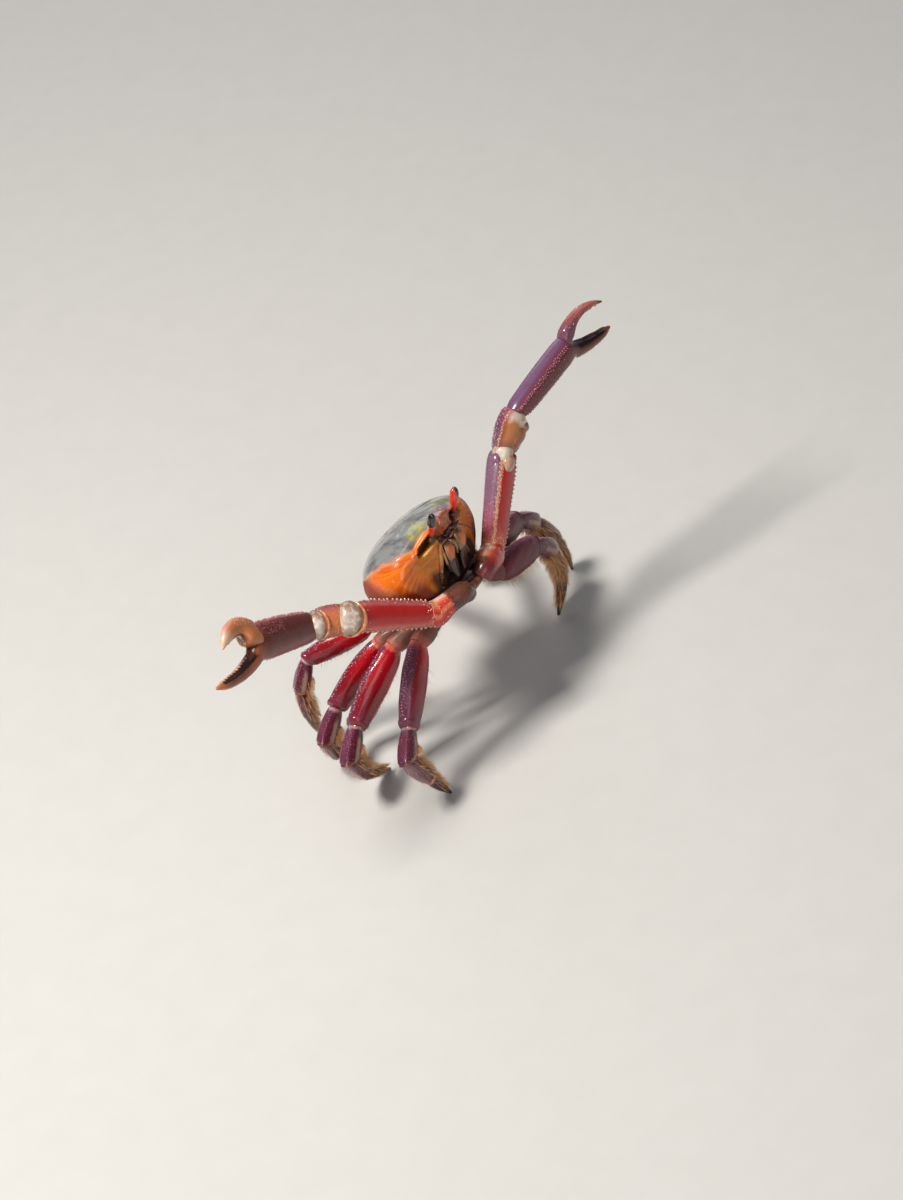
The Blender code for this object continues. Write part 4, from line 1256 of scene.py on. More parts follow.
def buildLegs():
    skins = {part: paintLimb(legTones, **row) for part, row in legSkins.items()}
    gold = paintHair("legHair", *hairTones["gold"])
    straw = paintHair("strawHair", *hairTones["straw"], gloss=0.35)
    membrane = paintMembrane("legMembrane", *softJoint["tones"])
    for name, (*_, (azimuth, tilt)) in legPlan.items():
        side, girth = 1 if name[0] == "L" else -1, legBones[name[1]][2]
        joints = legJoints(name)
        front = heading(azimuth - 90 * side, tilt)
        planes = jointPlanes(joints, np.array([0.0, 0.0, -1.0]))
        facing = math.radians(98 if name[1] == "2" else 84)
        sleeves = []
        for i, (part, rows) in enumerate(legShapes.items()):
            shape = [(t, w * girth, h * girth, r * girth) for t, w, h, r in rows]
            sleeve = limbRows(joints[i], joints[i + 1], front, side, shape, *planes[i], legRelief(part))
            sleeves.append(sleeve)
            piece = Sculpt(f"leg{name}{part.capitalize()}")
            if part == "dactyl":
                piece.addSleeve(sleeve.rows, sleeve.alongs, sleeve.angles, facing)
            else:
                addSegment(piece, sleeve, facing, lip=0.9 * girth)
            piece.addStuds(sleeve, legStuds(part), markRound(facing), sides=6)
            material = skins.get(part + name) or skins.get(part + name[0]) or skins[part]
            piece.make(material, [f"leg_{name}_{part}"], legSlots[part], joints[i])
        joins = Sculpt(f"leg{name}Membranes")
        addSoftJoints(joins, joints, sleeves, girth, facing)
        joins.make(membrane, slot="joint_shell")

        coat = Sculpt(f"leg{name}Hair")
        full = 1.0 if name[1] in "23" else 0.8
        for segment, count, alongs, middle, spread, length, *rest in legHair:
            tuftOn(coat, sleeves[segment], int(count * full), alongs, middle, spread, length * girth,
                   *rest)
        coat.make(gold, slot="leg_shin_shell")
        fringe = Sculpt(f"leg{name}Fringe")
        length, count = fringes.get(name, plainFringe)
        tuftOn(fringe, sleeves[1], count, (0.2, 0.95), 178, 22, length, 0.45, 0.5, 0.05, (0.1, 0.8), 0.1)
        tuftOn(fringe, sleeves[0], 30, (0.2, 0.95), 180, 60, 3.2, 0.5, 0.3, 0.05, (0.0, 0.1), 0.2)
        fringe.make(straw, slot="leg_thigh_shell")


print("legs and their hair")
buildLegs()


clawTones = tones(
    scarlet=(196, 34, 30), coral=(222, 112, 90), cream=(240, 206, 172), white=(240, 226, 214),
    violet=(110, 64, 90), lilac=(138, 102, 130), grape=(88, 36, 54), umber=(74, 42, 34),
    apricot=(206, 122, 74), honey=(186, 110, 64), peach=(228, 160, 116), berry=(176, 74, 88),
    horn=(170, 92, 60), ivory=(238, 202, 176), ink=(22, 13, 11), blush=(198, 124, 116),
    bark=(120, 70, 50), claret=(104, 34, 42), brick=(150, 74, 68), amber=(190, 118, 66),
    ember=(212, 78, 54), folds=(64, 30, 21), fold=(112, 64, 44), dusty=(112, 80, 116), rosy=(124, 60, 78),
    tan=(102, 42, 36), dustyRose=(176, 100, 100), sand=(236, 188, 160), shellPink=(206, 136, 140),
    russet=(146, 66, 60),
)
# on the palm the place along runs from 1 at the fingers' roots to 2 at the fixed finger's tip
clawSkins = {
    # painted highlight in white and peach on the hip's upper side as seen from the camera, over its red
    "R hip": skin("clawRHipSkin", "ember", "cream", specks=0.3, gloss=0.2, coat=0.45, dark=0.4, layers=(
        ("peach", 0.75, ("turn", 0.3, 0.9)), ("scarlet", 0.7, ("turn", 0.45, 0.1), ("turn", -0.2, 0.1)),
        ("peach", 0.5, ("turn", 0.1, -0.15), ("turn", -0.5, -0.2)),
        ("scarlet", 0.8, ("turn", -0.3, -0.7)),
        ("white", 0.6, ("turn", 0.5, 0.95), ("along", 0.95, 0.65)),
        ("folds", 0.95, ("along", 0.49, 0.41)), ("fold", 0.8, ("along", 0.44, 0.36), ("face", 0.6, 0.95)),
        ("umber", 0.8, ("along", 0.41, 0.45), ("along", 0.52, 0.47)))),
    "R merus": skin("clawRArmSkin", "coral", "cream", specks=0.5, speckAt=("face", 0.9, 0.4), gloss=0.22,
        coat=0.5, dark=0.6, layers=(
        ("scarlet", 1, ("face", 0.2, 0.55)), ("berry", 0.9, ("turn", -0.5, -0.8)),
        ("violet", 0.8, ("turn", -0.8, -0.97), ("along", 0.3, 0.9)), ("coral", 0.8, ("turn", 0.72, 0.95)),
        ("coral", 0.75, ("along", 0.14, 0)), ("cream", 0.4, ("along", 0.05, 0)),
        ("claret", 0.6, ("face", -0.2, -0.8)), ("berry", 0.45, ("along", 0.75, 1)),
        ("blush", 0.45, ("turn", -0.5, -0.72), ("turn", -0.95, -0.8)),
        ("blush", 0.4, ("turn", 0.6, 0.85)))),
    "R carpus": skin("clawRWristSkin", "apricot", "peach", specks=0.4, speckAt=("turn", -0.2, -0.7),
        gloss=0.2, coat=0.6, dark=0.5, layers=(
        ("berry", 0.7, ("turn", -0.35, -0.75)), ("violet", 0.9, ("turn", -0.7, -0.95)),
        ("claret", 0.7, ("face", 0.1, -0.6)), ("bark", 0.75, ("turn", 0.55, 0.95)))),
    "R palm": skin("handRSkin", "tan", "dustyRose", specks=0.6, speckAt=("face", 0.8, 0.3), gloss=0.24,
        coat=0.5, dark=0.8, layers=(
        ("grape", 1, ("face", 0.65, 0.25)), ("berry", 0.6, ("turn", 0.35, 0.8), ("face", 0.75, 0.2)),
        ("brick", 0.5, ("turn", -0.2, -0.75)), ("horn", 0.9, ("along", 0.92, 1.2)),
        ("bark", 0.7, ("along", 1.2, 1.6)), ("apricot", 0.9, ("along", 1.75, 1.97)),
        ("blush", 0.55, ("face", 0.3, -0.4), ("along", 1, 1.2)),
        ("peach", 0.7, ("face", 0.2, -0.1), ("turn", 0.1, 0.5), ("along", 1.2, 1.35)),
        ("ink", 1, ("turn", 0, 0.3), ("face", 0, 0.25), ("along", 1.12, 1.22), ("along", 1.93, 1.84)),
        ("umber", 0.85, ("turn", 0.4, 0.8), ("along", 1, 1.05), ("along", 1.3, 1.22)))),
    "R finger": skin("fingerRSkin", "honey", "cream", specks=0.5, speckAt=("face", 0.2, -0.3), gloss=0.24,
        coat=0.6, dark=0.3, layers=(
        ("blush", 0.9, ("face", 0.1, -0.5)), ("berry", 0.5, ("along", 0.25, 0), ("face", 0.2, -0.6)),
        ("amber", 0.8, ("turn", 0.2, 0.8)), ("ivory", 0.95, ("along", 0.6, 0.98)),
        ("umber", 0.9, ("face", 0.72, 0.93), ("along", 0.2, 0.34), ("along", 0.72, 0.5)))),
    # painted highlight in white on the side of the hip that lies left in the camera's view
    "L hip": skin("clawLHipSkin", "ember", "cream", specks=0.3, gloss=0.2, coat=0.45, dark=0.4, layers=(
        ("scarlet", 0.9, ("turn", -0.1, 0.5)), ("peach", 0.8, ("turn", 0.1, -0.4)),
        ("white", 0.6, ("turn", 0, -0.4), ("face", 0.1, 0.6), ("along", 0.4, 0.55)),
        ("apricot", 0.8, ("turn", -0.45, -0.8)), ("claret", 0.9, ("along", 0.38, 0.2)),
        ("folds", 0.8, ("along", 0.34, 0.2), ("turn", 0.1, -0.5)))),
    "L merus": skin("clawLArmSkin", "violet", "sand", specks=0.4, speckAt=("turn", -0.2, -0.7),
        gloss=0.16, coat=0.8, dark=0.3, layers=(
        ("lilac", 0.6, ("turn", -0.75, -0.95)),
        ("scarlet", 1, ("turn", -0.62, -0.4), ("face", -0.3, 0.1)),
        ("brick", 0.5, ("turn", 0, 0.6), ("face", 0.2, 0.6)), ("coral", 0.8, ("along", 0.3, 0.05)),
        ("berry", 0.55, ("along", 0.55, 0.2), ("turn", -0.3, -0.8)),
        ("grape", 0.75, ("face", -0.1, -0.7)), ("peach", 0.4, ("along", 0.08, 0)),
        ("peach", 0.6, ("turn", -0.76, -0.66), ("turn", -0.46, -0.56), ("face", 0, 0.4)))),
    "L carpus": skin("clawLWristSkin", "violet", "white", specks=0.6, speckAt=("turn", -0.75, -0.95),
        gloss=0.17, coat=0.7, dark=0.4, layers=(
        ("amber", 1, ("face", 0.16, 0.36)), ("honey", 0.6, ("turn", 0.2, 0.9)),
        ("white", 0.75, ("face", 0.3, 0.5), ("along", 0.7, 0.85)),
        ("bark", 0.75, ("face", 0.3, 0.5), ("along", 0.45, 0.05)),
        ("bark", 0.6, ("face", 0.34, 0.42), ("face", 0.7, 0.5)), ("grape", 0.7, ("face", 0, -0.7)),
        ("berry", 0.4, ("along", 0.6, 1), ("turn", -0.3, -0.8)))),
    "L palm": skin("handLSkin", "violet", "shellPink", specks=0.5, speckAt=("turn", 0.6, 0.3), gloss=0.2,
        coat=0.45, dark=0.7, layers=(
        ("dusty", 0.85, ("turn", 0.8, 0.97)), ("rosy", 0.9, ("turn", 0.9, 0.65), ("face", -0.3, 0.2)),
        ("claret", 1, ("turn", 0.5, 0.25), ("face", -0.5, 0)), ("tan", 0.75, ("turn", 0.1, -0.6)),
        ("grape", 0.6, ("face", 0, -0.6)), ("bark", 0.9, ("along", 1, 1.3)),
        ("honey", 0.7, ("along", 1.75, 1.95)),
        ("ink", 1, ("turn", 0.2, 0.42), ("face", -0.1, 0.15), ("along", 1.08, 1.16),
         ("along", 1.9, 1.8)))),
    "L finger": skin("fingerLSkin", "russet", "blush", specks=0.5, speckAt=("face", 0.2, -0.3), gloss=0.2,
        coat=0.7, dark=0.3, layers=(
        ("violet", 0.9, ("along", 0.45, 0.1)), ("grape", 0.6, ("face", -0.1, 0.6), ("along", 0.4, 0.1)),
        ("honey", 0.85, ("along", 0.5, 0.85)), ("blush", 0.3, ("face", 0, -0.6), ("along", 0.3, 0.5)),
        ("umber", 0.95, ("along", 0.88, 1)))),
}

# rows of fraction along, half width, half thickness, rise
clawShapes = {
    "merus": ((0, 4.3, 3.9, 0), (0.06, 5, 4.4, 0), (0.2, 5.4, 4.8, 0), (0.5, 5.9, 5.2, 0.3),
              (0.85, 6.5, 5.8, 0.3), (0.95, 6.3, 5.5, 0.1), (1, 5.4, 4.9, 0)),
    "carpus": ((0, 4.6, 4.3, 0), (0.12, 5.6, 5.1, 0.1), (0.5, 6.8, 5.8, 0.4), (0.85, 6.6, 5.6, 0.2),
               (1, 5.3, 4.7, 0)),
    "palm": ((0, 4.9, 4.3, 0), (0.1, 5.8, 4.8, 0), (0.5, 6.7, 5, 0), (0.88, 6.9, 4.8, 0),
             (1, 6.5, 4.4, 0)),
    "fixed": ((0, 3.3, 3.5), (0.12, 3.6, 3.5), (0.3, 3.5, 3.2), (0.5, 3.1, 2.8), (0.7, 2.6, 2.4),
              (0.86, 2, 1.9), (1, 0.8, 0.8)),
    "movableR": ((0, 3.2, 3.4), (0.12, 3.6, 3.5), (0.3, 3.8, 3.2), (0.5, 3.6, 2.8), (0.7, 3.1, 2.4),
                 (0.86, 2.2, 1.8), (1, 0.7, 0.7)),
    "movableL": ((0, 3.2, 3.5), (0.12, 3.2, 3.3), (0.3, 2.6, 2.7), (0.5, 2.1, 2.3), (0.7, 1.7, 1.8),
                 (0.86, 1.2, 1.3), (1, 0.5, 0.5)),
}
# bones: length, azimuth, elevation; fingers: length, angle to the hand, bow
# studs: a row has its angle, from, to, count, radius, height, lean and sway; a band its place along
# and size; grains their count, span along, span of angles, smallest and largest size
# soft joints: joint, bone and slide along it, way aside, lift toward the camera, the bone the ball
# lies across, radii, sweep and thickness of its rim, how much its face is dimmed
clawPlan = {
    "R": {
        "socket": (-12, -23, -15.5), "chest": (-6.5, -20.5, -18.6), "up": (125, 55), "side": -1,
        "bones": ((15, -115, -7), (44, -114, 30), (18.5, -127, 15), (36, -97, 27)),
        "movable": (20.5, -9, 5.4), "fixed": (31, -19, -2.2),
        "spread": (4.1, 3.9), "palmWide": 1.1, "hipSizes": (4.4, 5, 4.9, 5.9, 4.8),
        "armKeels": (20, 164), "wristKeels": (24, 150), "handKeels": (10, 60, 175, 200),
        "face": 92, "handFace": -80, "hollow": 1, "aim": -34, "heel": 4.3,
        "teeth": {"count": 13, "turns": (0,), "size": 0.5},
        "armKnobs": (), "wristKnobs": (),
        "armStuds": (
            ("row", 16, 0.08, 0.92, 17, 0.62, 0.95, 0.5), ("row", 164, 0.06, 0.94, 16, 0.74, 0.95, 0.4,
                                                           1.5),
            ("row", 34, 0.1, 0.9, 11, 0.3, 0.36, 0.3, 6), ("row", 151, 0.6, 0.93, 5, 0.34, 0.4, 0.3, 5),
            ("grains", 110, (0.05, 0.95), (-55, 12), 0.1, 0.22),
            ("grains", 44, (0.02, 0.16), (20, 164), 0.18, 0.36),
            ("grains", 16, (0.88, 0.97), (20, 164), 0.24, 0.42)),
        "wristStuds": (
            ("band", 0.33, 0.4), ("band", 0.45, 0.32), ("band", 0.56, 0.26),
            ("grains", 60, (0.3, 0.65), (20, 160), 0.1, 0.22),
            ("row", 24, 0.1, 0.92, 13, 0.34, 0.5), ("row", 150, 0.1, 0.92, 12, 0.3, 0.4),
            ("grains", 150, (0.08, 0.95), (-66, 28), 0.1, 0.26)),
        "palmStuds": (
            ("row", -24, 0.05, 0.97, 24, 0.3, 0.4), ("row", 4, 0.03, 0.97, 24, 0.42, 0.62),
            ("row", 30, 0.05, 0.95, 20, 0.34, 0.5), ("grains", 300, (0.04, 1), (-42, 90), 0.08, 0.2),
            ("grains", 190, (0.6, 1), (-80, -10), 0.08, 0.22),
            ("grains", 200, (0.05, 0.98), (-115, -38), 0.05, 0.12),
            ("row", 176, 0.08, 0.95, 16, 0.3, 0.4), ("grains", 50, (0.05, 0.95), (150, 215), 0.12, 0.26)),
        "softJoints": (
            (2, "wrist", 1.7, 0, 2.2, "arm", (6.6, 7.5, 6.6), (-112, 66), 0.78, 0),
            (3, "wrist", -2.3, 0, 1.2, "wrist", (4.7, 6.4, 6), (-100, 78), 0.5, 0)),
        "skinTones": (tone(206, 184, 168), tone(164, 128, 104), tone(112, 70, 46)), "furrow": 0.1,
    },
    "L": {
        "socket": (9.5, -22.5, -16.5), "chest": (5.5, -20.5, -18.8), "up": (-117, 70), "side": 1,
        "bones": ((12, 108, -12), (44.5, 97, 45), (19, 62, 56), (37, 73, 20)),
        "movable": (26, -8, 5), "fixed": (24, -24, -1.2),
        "spread": (3.4, 3.6), "palmWide": 0.893, "hipSizes": (4.4, 5, 5.8, 5.9, 4.8),
        "armKeels": (50, 128), "wristKeels": (20, 132), "handKeels": (56, 74, 124, -128),
        "face": 89, "handFace": 84, "hollow": 1.1, "aim": 38, "heel": 0.8,
        "teeth": {"count": 19, "turns": (16, -16), "size": 0.32},
        "armKnobs": ((0.985, 30, (2.7, 2.3, 1.7), 0.5), (0.93, 12, (2.9, 2.6, 1.5), 0.7),
                     (0.97, 112, (2.2, 1.8, 1.4), 0.5)),
        "wristKnobs": ((0.5, 108, (6.2, 4.4, 3.4), 2.3), (0.74, 124, (3.2, 3, 2.8), 1.7)),
        "armStuds": (
            ("row", 50, 0.05, 0.93, 22, 0.5, 0.62, 0.3, 4), ("row", 128, 0.05, 0.93, 21, 0.5, 0.7, 0.4,
                                                             2),
            ("grains", 130, (0.04, 0.93), (45, 61), 0.15, 0.3),
            ("row", 43, 0.08, 0.9, 16, 0.34, 0.4, 0.3, 5), ("row", 58, 0.1, 0.7, 10, 0.34, 0.4, 0.3, 6),
            ("grains", 110, (0.05, 0.95), (-25, 42), 0.1, 0.22),
            ("grains", 44, (0.02, 0.16), (50, 128), 0.18, 0.36),
            ("grains", 16, (0.88, 0.97), (50, 128), 0.24, 0.42)),
        "wristStuds": (
            ("row", 20, 0.1, 0.92, 13, 0.34, 0.5), ("row", 132, 0.1, 0.92, 12, 0.3, 0.4),
            ("grains", 150, (0.08, 0.95), (-70, 24), 0.1, 0.26)),
        "palmStuds": (
            ("row", 56, 0.03, 0.96, 30, 0.36, 0.46, 0.2, 3), ("row", 66, 0.06, 0.96, 30, 0.32, 0.4, 0.2,
                                                              3),
            ("row", 130, 0.04, 0.96, 32, 0.32, 0.46), ("row", 112, 0.08, 0.93, 20, 0.2, 0.24, 0.1, 5),
            ("grains", 240, (0.05, 0.98), (48, 140), 0.08, 0.2), ("row", -10, 0.1, 0.95, 16, 0.24, 0.3)),
        "softJoints": (
            (2, "arm", -0.6, 0.1, 2.8, "arm", (6.6, 4.6, 4.3), None, 0, 0),
            (2, "arm", -4.6, 2.4, 2.8, "arm", (4.8, 3.2, 4.2), None, 0, 0.5),
            (3, "wrist", -2, -0.6, 1.4, "wrist", (3.4, 5.6, 4.4), None, 0, 0)),
        "skinTones": (tone(222, 206, 192), tone(194, 156, 126), tone(152, 98, 60)), "furrow": 0.4,
    },
}
# both hands alike
fixedStuds = (("row", 160, 0.12, 0.8, 9, 0.26, 0.3), ("grains", 24, (0.1, 0.8), (90, 260), 0.12, 0.24))
fingerStuds = (("row", 0, 0.05, 0.75, 20, 0.28, 0.34), ("row", 40, 0.05, 0.7, 18, 0.22, 0.26),
               ("row", -38, 0.05, 0.7, 18, 0.22, 0.26), ("grains", 190, (0.02, 0.55), (-90, 90), 0.07,
                                                         0.2))
# rings round a segment, the hand and the movable finger; rings of the hand's shoulder
clawMesh = {"segment": 52, "hand": 48, "finger": 36, "shoulder": 11, "skip": 9}


def fingerRows(root, along, upward, plan, table, steps, count):
    # rings of a bowed finger that starts flat on the hand
    length, angle, bow = plan
    a = math.radians(angle)
    way = math.cos(a) * along + math.sin(a) * upward
    rise = math.cos(a) * upward - math.sin(a) * along
    stations = np.linspace(0, 1, steps)
    line = [root + length * t * way + bow * 4 * t * (1 - t) * rise for t in stations]
    rows = tubeRows(line, [smoothRow(t, table) for t in stations], upward, count, limbMesh["power"])
    flat = np.array([p + along * (root - p).dot(along) for p in rows[0]])
    knee = int(0.12 * (steps - 1)) + 1
    for i in range(knee):
        rows[i] = flat + (rows[knee] - flat) * (i / knee)
    return rows, stations


def roundTip(rows, stations):
    last = rows[-1]
    middle = last.mean(axis=0)
    size = np.linalg.norm(last - middle, axis=1).mean()
    ahead = unit(middle - rows[-3].mean(axis=0))
    more = [middle + (last - middle) * w + ahead * size * d
            for w, d in ((0.88, 0.4), (0.6, 0.75), (0.25, 0.95))]
    return list(rows) + more, list(stations) + [stations[-1]] * 3


def studRow(turn, low, high, count, radius, height, lean=0.3, sway=2.5):
    return [(t + chance.normal(0, 0.004), turn + chance.normal(0, sway),
             radius * chance.uniform(0.85, 1.15), height * chance.uniform(0.8, 1.15), lean)
            for t in np.linspace(low, high, count)]


def studBand(along, size):  # beads across a segment
    return [(along + chance.normal(0, 0.012), a + chance.normal(0, 1.5), size, size * 1.3, 0.1)
            for a in np.linspace(26, 152, 15)]


def grains(count, alongs, turns, low, high):
    return [(chance.uniform(*alongs), chance.uniform(*turns), s, s * 1.2, 0.1)
            for s in chance.uniform(low, high, count)]


def studding(table):  # all studs of a table, drawn in its order
    makers = {"row": studRow, "band": studBand, "grains": grains}
    return [spot for kind, *rest in table for spot in makers[kind](*rest)]


def keeled(angles, height):
    # relief with a rounded keel at each of the angles
    def relief(t, around):
        a = np.degrees(around)
        lift = sum(bell((a - r + 180) % 360 - 180, 13) for r in angles)
        return height * lift * math.sin(math.pi * min(1, 0.1 + t)) ** 0.4
    return relief


def addKnobs(piece, sleeve, knobs, markAt, count, ripple=None):
    # rounded lumps sunk into a segment: along, angle, radii, depth
    for t, turn, radii, sink in knobs:
        angle = math.radians(turn)
        point, normal, ahead = sleeve.at(t, angle)
        ways = (ahead, unit(np.cross(ahead, normal)), normal)
        piece.addBlob(point - normal * sink, radii, ways, markAt(t, angle), count, ripple)


def clawFrame(label):
    # joints and directions of one claw
    plan = clawPlan[label]
    joints = [place([plan["socket"]])[0]]
    for length, azimuth, elevation in plan["bones"]:
        joints.append(joints[-1] + length * heading(azimuth, elevation))
    along = unit(joints[4] - joints[3])
    rough = heading(*plan["up"])
    upward = unit(rough - rough.dot(along) * along)
    return {"label": label, "joints": joints, "along": along, "upward": upward,
            "across": np.cross(along, upward), "planes": jointPlanes(joints, along),
            "arm": unit(joints[2] - joints[1]), "wrist": unit(joints[3] - joints[2]),
            "front": heading(0, 20), "look": unit(towardCamera),
            "skins": {key[2:]: paintLimb(clawTones, **row) for key, row in clawSkins.items()
                      if key[0] == label}}


def finishPiece(piece, claw, part, slot, joint):
    node = f"claw_{claw['label']}_{part}"
    piece.make(claw["skins"][part], [node], slot, claw["joints"][joint])


def buildHip(claw, plan):
    joints, arm = claw["joints"], claw["arm"]
    piece = Sculpt(f"claw{claw['label']}Hip")
    chest = place([plan["chest"]])[0]
    path = [chest, joints[0], (joints[0] + joints[1]) / 2, joints[1] - arm * 0.5, joints[1] + arm * 4.5]
    # the tube's marks are set from the camera's direction, which is how the hip skins place their painted
    # highlights
    tube = piece.addTube(path, plan["hipSizes"], 44, 60, upward=claw["look"])
    piece.addStuds(tube, grains(40, (0.45, 0.8), (-70, 70), 0.14, 0.3), markRound(0.0))
    finishPiece(piece, claw, "hip", "joint_shell", 0)


def startSegment(claw, plan, title, part, number, front, keel):
    # one segment between two joints, with its studs
    joints, face = claw["joints"], math.radians(plan["face"])
    sleeve = limbRows(joints[number], joints[number + 1], front, plan["side"], clawShapes[part],
                      *claw["planes"][number], keeled(plan[title + "Keels"], keel), clawMesh["segment"])
    piece = Sculpt(f"claw{claw['label']}{title.capitalize()}")
    addSegment(piece, sleeve, face)
    piece.addStuds(sleeve, studding(plan[title + "Studs"]), markRound(face))
    return piece, sleeve


def buildArm(claw, plan):
    piece, arm = startSegment(claw, plan, "arm", "merus", 1, claw["front"], 0.55)
    addKnobs(piece, arm, plan["armKnobs"], markRound(math.radians(plan["face"])), 32)
    finishPiece(piece, claw, "merus", "claw_arm_shell", 1)


def buildWrist(claw, plan):
    across = claw["across"] * plan["side"]
    turned = across * (-1 if across.dot(claw["front"]) < 0 else 1)
    piece, wrist = startSegment(claw, plan, "wrist", "carpus", 2, turned, 0.4)
    addKnobs(piece, wrist, plan["wristKnobs"], lambda t, angle: (t, 0.5, 0.5), 40,
             lambda b: 1 + 0.03 * np.sin(b[:, 0] * 6 + b[:, 1] * 3))
    finishPiece(piece, claw, "carpus", "claw_wrist_shell", 2)


def buildSoftJoints(claw, plan):
    # soft joint skin that bulges between arm, wrist and hand, each ball within a rim where its plan gives
    # a sweep
    label, look = claw["label"], claw["look"]
    bulges, rims = Sculpt(f"claw{label}Membranes"), Sculpt(f"claw{label}Rims")
    aside = unit(np.cross(claw["arm"], look))
    for joint, bone, slide, sideways, lift, across, radii, sweep, thick, dim in plan["softJoints"]:
        centre = claw["joints"][joint] + claw[bone] * slide + aside * sideways + look * lift
        way = unit(claw[across] - claw[across].dot(look) * look)
        high = np.cross(look, way) * plan["side"]
        bulges.addBlob(centre, radii, (way, high, look), None, 48,
                       lambda b: 1 + 0.02 * np.sin(b[:, 0] * 7 + b[:, 1] * 2))
        ball = bulges.limb.pop()
        points = unit(bulges.points[-1] - centre)
        # the face mark is how far each point faces the camera, less the dimming; paintMembrane pales the
        # middle and darkens the outline by it, partly painted highlight and painted shade
        bulges.limb.append(np.stack([ball[:, 0], points @ look - dim, points @ high], 1))
        if sweep:
            turns = np.radians(np.linspace(*sweep, 17))
            arc = [centre - way * math.cos(a) * (radii[0] + 0.5) + high * math.sin(a) * (radii[1] - 0.1)
                   + look * (0.4 + 3.2 * max(0, math.cos(a)) ** 0.7) for a in turns]
            rims.addTube(arc, thick * np.sin(np.linspace(0.12, math.pi - 0.12, 17)) ** 0.5, 14, 70)
    bulgeSkin = paintMembrane(f"claw{label}MembraneSkin", *plan["skinTones"], furrow=plan["furrow"])
    bulges.make(bulgeSkin, slot="joint_shell")
    if rims.points:
        k = clawTones
        rimSkin = paintPlain(f"claw{label}RimSkin", k["peach"], k["honey"], k["bark"], 0.25, 0.6, 0.9)
        rims.make(rimSkin, slot="claw_arm_shell")


def fixedFinger(claw, plan):
    # rings of the fixed finger, spooned on its cutting side
    root = claw["joints"][4] - plan["spread"][1] * claw["upward"] + 0.4 * claw["along"]
    rows, stations = fingerRows(root, claw["along"], claw["upward"], plan["fixed"], clawShapes["fixed"],
                                64, clawMesh["hand"])
    toAim = np.clip(np.cos(ringAngles(clawMesh["hand"]) - math.radians(plan["aim"])), 0, 1) ** 4
    for i, t in enumerate(stations):
        dip = plan["hollow"] * math.sin(math.pi * min(1, max(0, (t - 0.08) / 0.86))) ** 0.6
        inner = unit(rows[i].mean(axis=0) - rows[i])
        rows[i] = rows[i] + inner * (toAim * dip)[:, None]
    return rows, stations


def joinRows(palm, finger, angles):
    # rings that carry the palm's end smoothly over into the fixed finger
    skip, steps = clawMesh["skip"], clawMesh["shoulder"] + 1
    reach = 4.2 * (1 - 0.8 * np.clip(np.cos(angles) + 0.2, 0, 1))[:, None]
    leave = unit(palm.rows[-1] - palm.rows[-3]) * reach
    arrive = unit(finger[skip + 1] - finger[skip]) * reach
    rows = []
    for w in np.arange(1, steps) / steps:
        curve = palm.rows[-1] * (2 * w**3 - 3 * w * w + 1) + finger[skip] * (3 * w * w - 2 * w**3)
        rows.append(curve + leave * (w**3 - 2 * w * w + w) + arrive * (w**3 - w * w))
    return rows


def buildHand(claw, plan):
    # palm and fixed finger in one run of rings
    label, joints, upward = claw["label"], claw["joints"], claw["upward"]
    skip, angles = clawMesh["skip"], ringAngles(clawMesh["hand"])
    shape = [(t, w * plan["palmWide"], h, r) for t, w, h, r in clawShapes["palm"]]
    palm = limbRows(joints[3], joints[4], claw["across"], 1, shape, *claw["planes"][3],
                    keeled(plan["handKeels"], 0.25), clawMesh["hand"])
    finger, stations = fixedFinger(claw, plan)
    for i, t in enumerate(palm.alongs):  # the lower edge drops toward the finger's root
        low = np.clip(-np.cos(angles), 0, 1) ** 1.5 * float(ease(t, 0.45, 1.0)) * 0.9
        palm.rows[i] = palm.rows[i] - np.outer(low, upward)
    middle = palm.middles[0]
    start = [middle + (palm.rows[0] - middle) * w for w in (0.3, 0.93)]
    rows = start + list(palm.rows) + joinRows(palm, finger, angles) + finger[skip:]
    places = [0, 0] + list(palm.alongs) + list(np.linspace(1.01, 1 + stations[skip],
                                                           clawMesh["shoulder"]))
    rows, places = roundTip(rows, places + list(1 + stations[skip:]))
    piece = Sculpt(f"claw{label}Hand")
    face = math.radians(plan["handFace"])
    piece.addSleeve(rows, places, angles, face)
    turn = np.concatenate([np.tile(np.cos(angles), len(rows)), (0, 0)])
    piece.limb[0] = np.column_stack([piece.limb[0][:, :2], turn])
    piece.addStuds(palm, studding(plan["palmStuds"]),
                   lambda t, angle: (t, math.cos(angle - face), math.cos(angle)))

    sleeve, teeth = Sleeve(finger, stations, angles), plan["teeth"]
    for t in np.linspace(0.14, 0.9, teeth["count"]):
        size = teeth["size"] + 0.25 * abs(math.sin(t * 9))
        for a in teeth["turns"]:
            point, normal, _ = sleeve.at(t, math.radians(a))
            piece.addStud(point - upward * 0.1, normal, normal, size, size * 0.9, (1 + t, 0, 1),
                          shade=0.12)
    piece.addStuds(sleeve, studding(fixedStuds), lambda t, angle: (1 + t, 0, math.cos(angle)), leaning=0)
    finishPiece(piece, claw, "palm", "claw_palm_shell", 3)


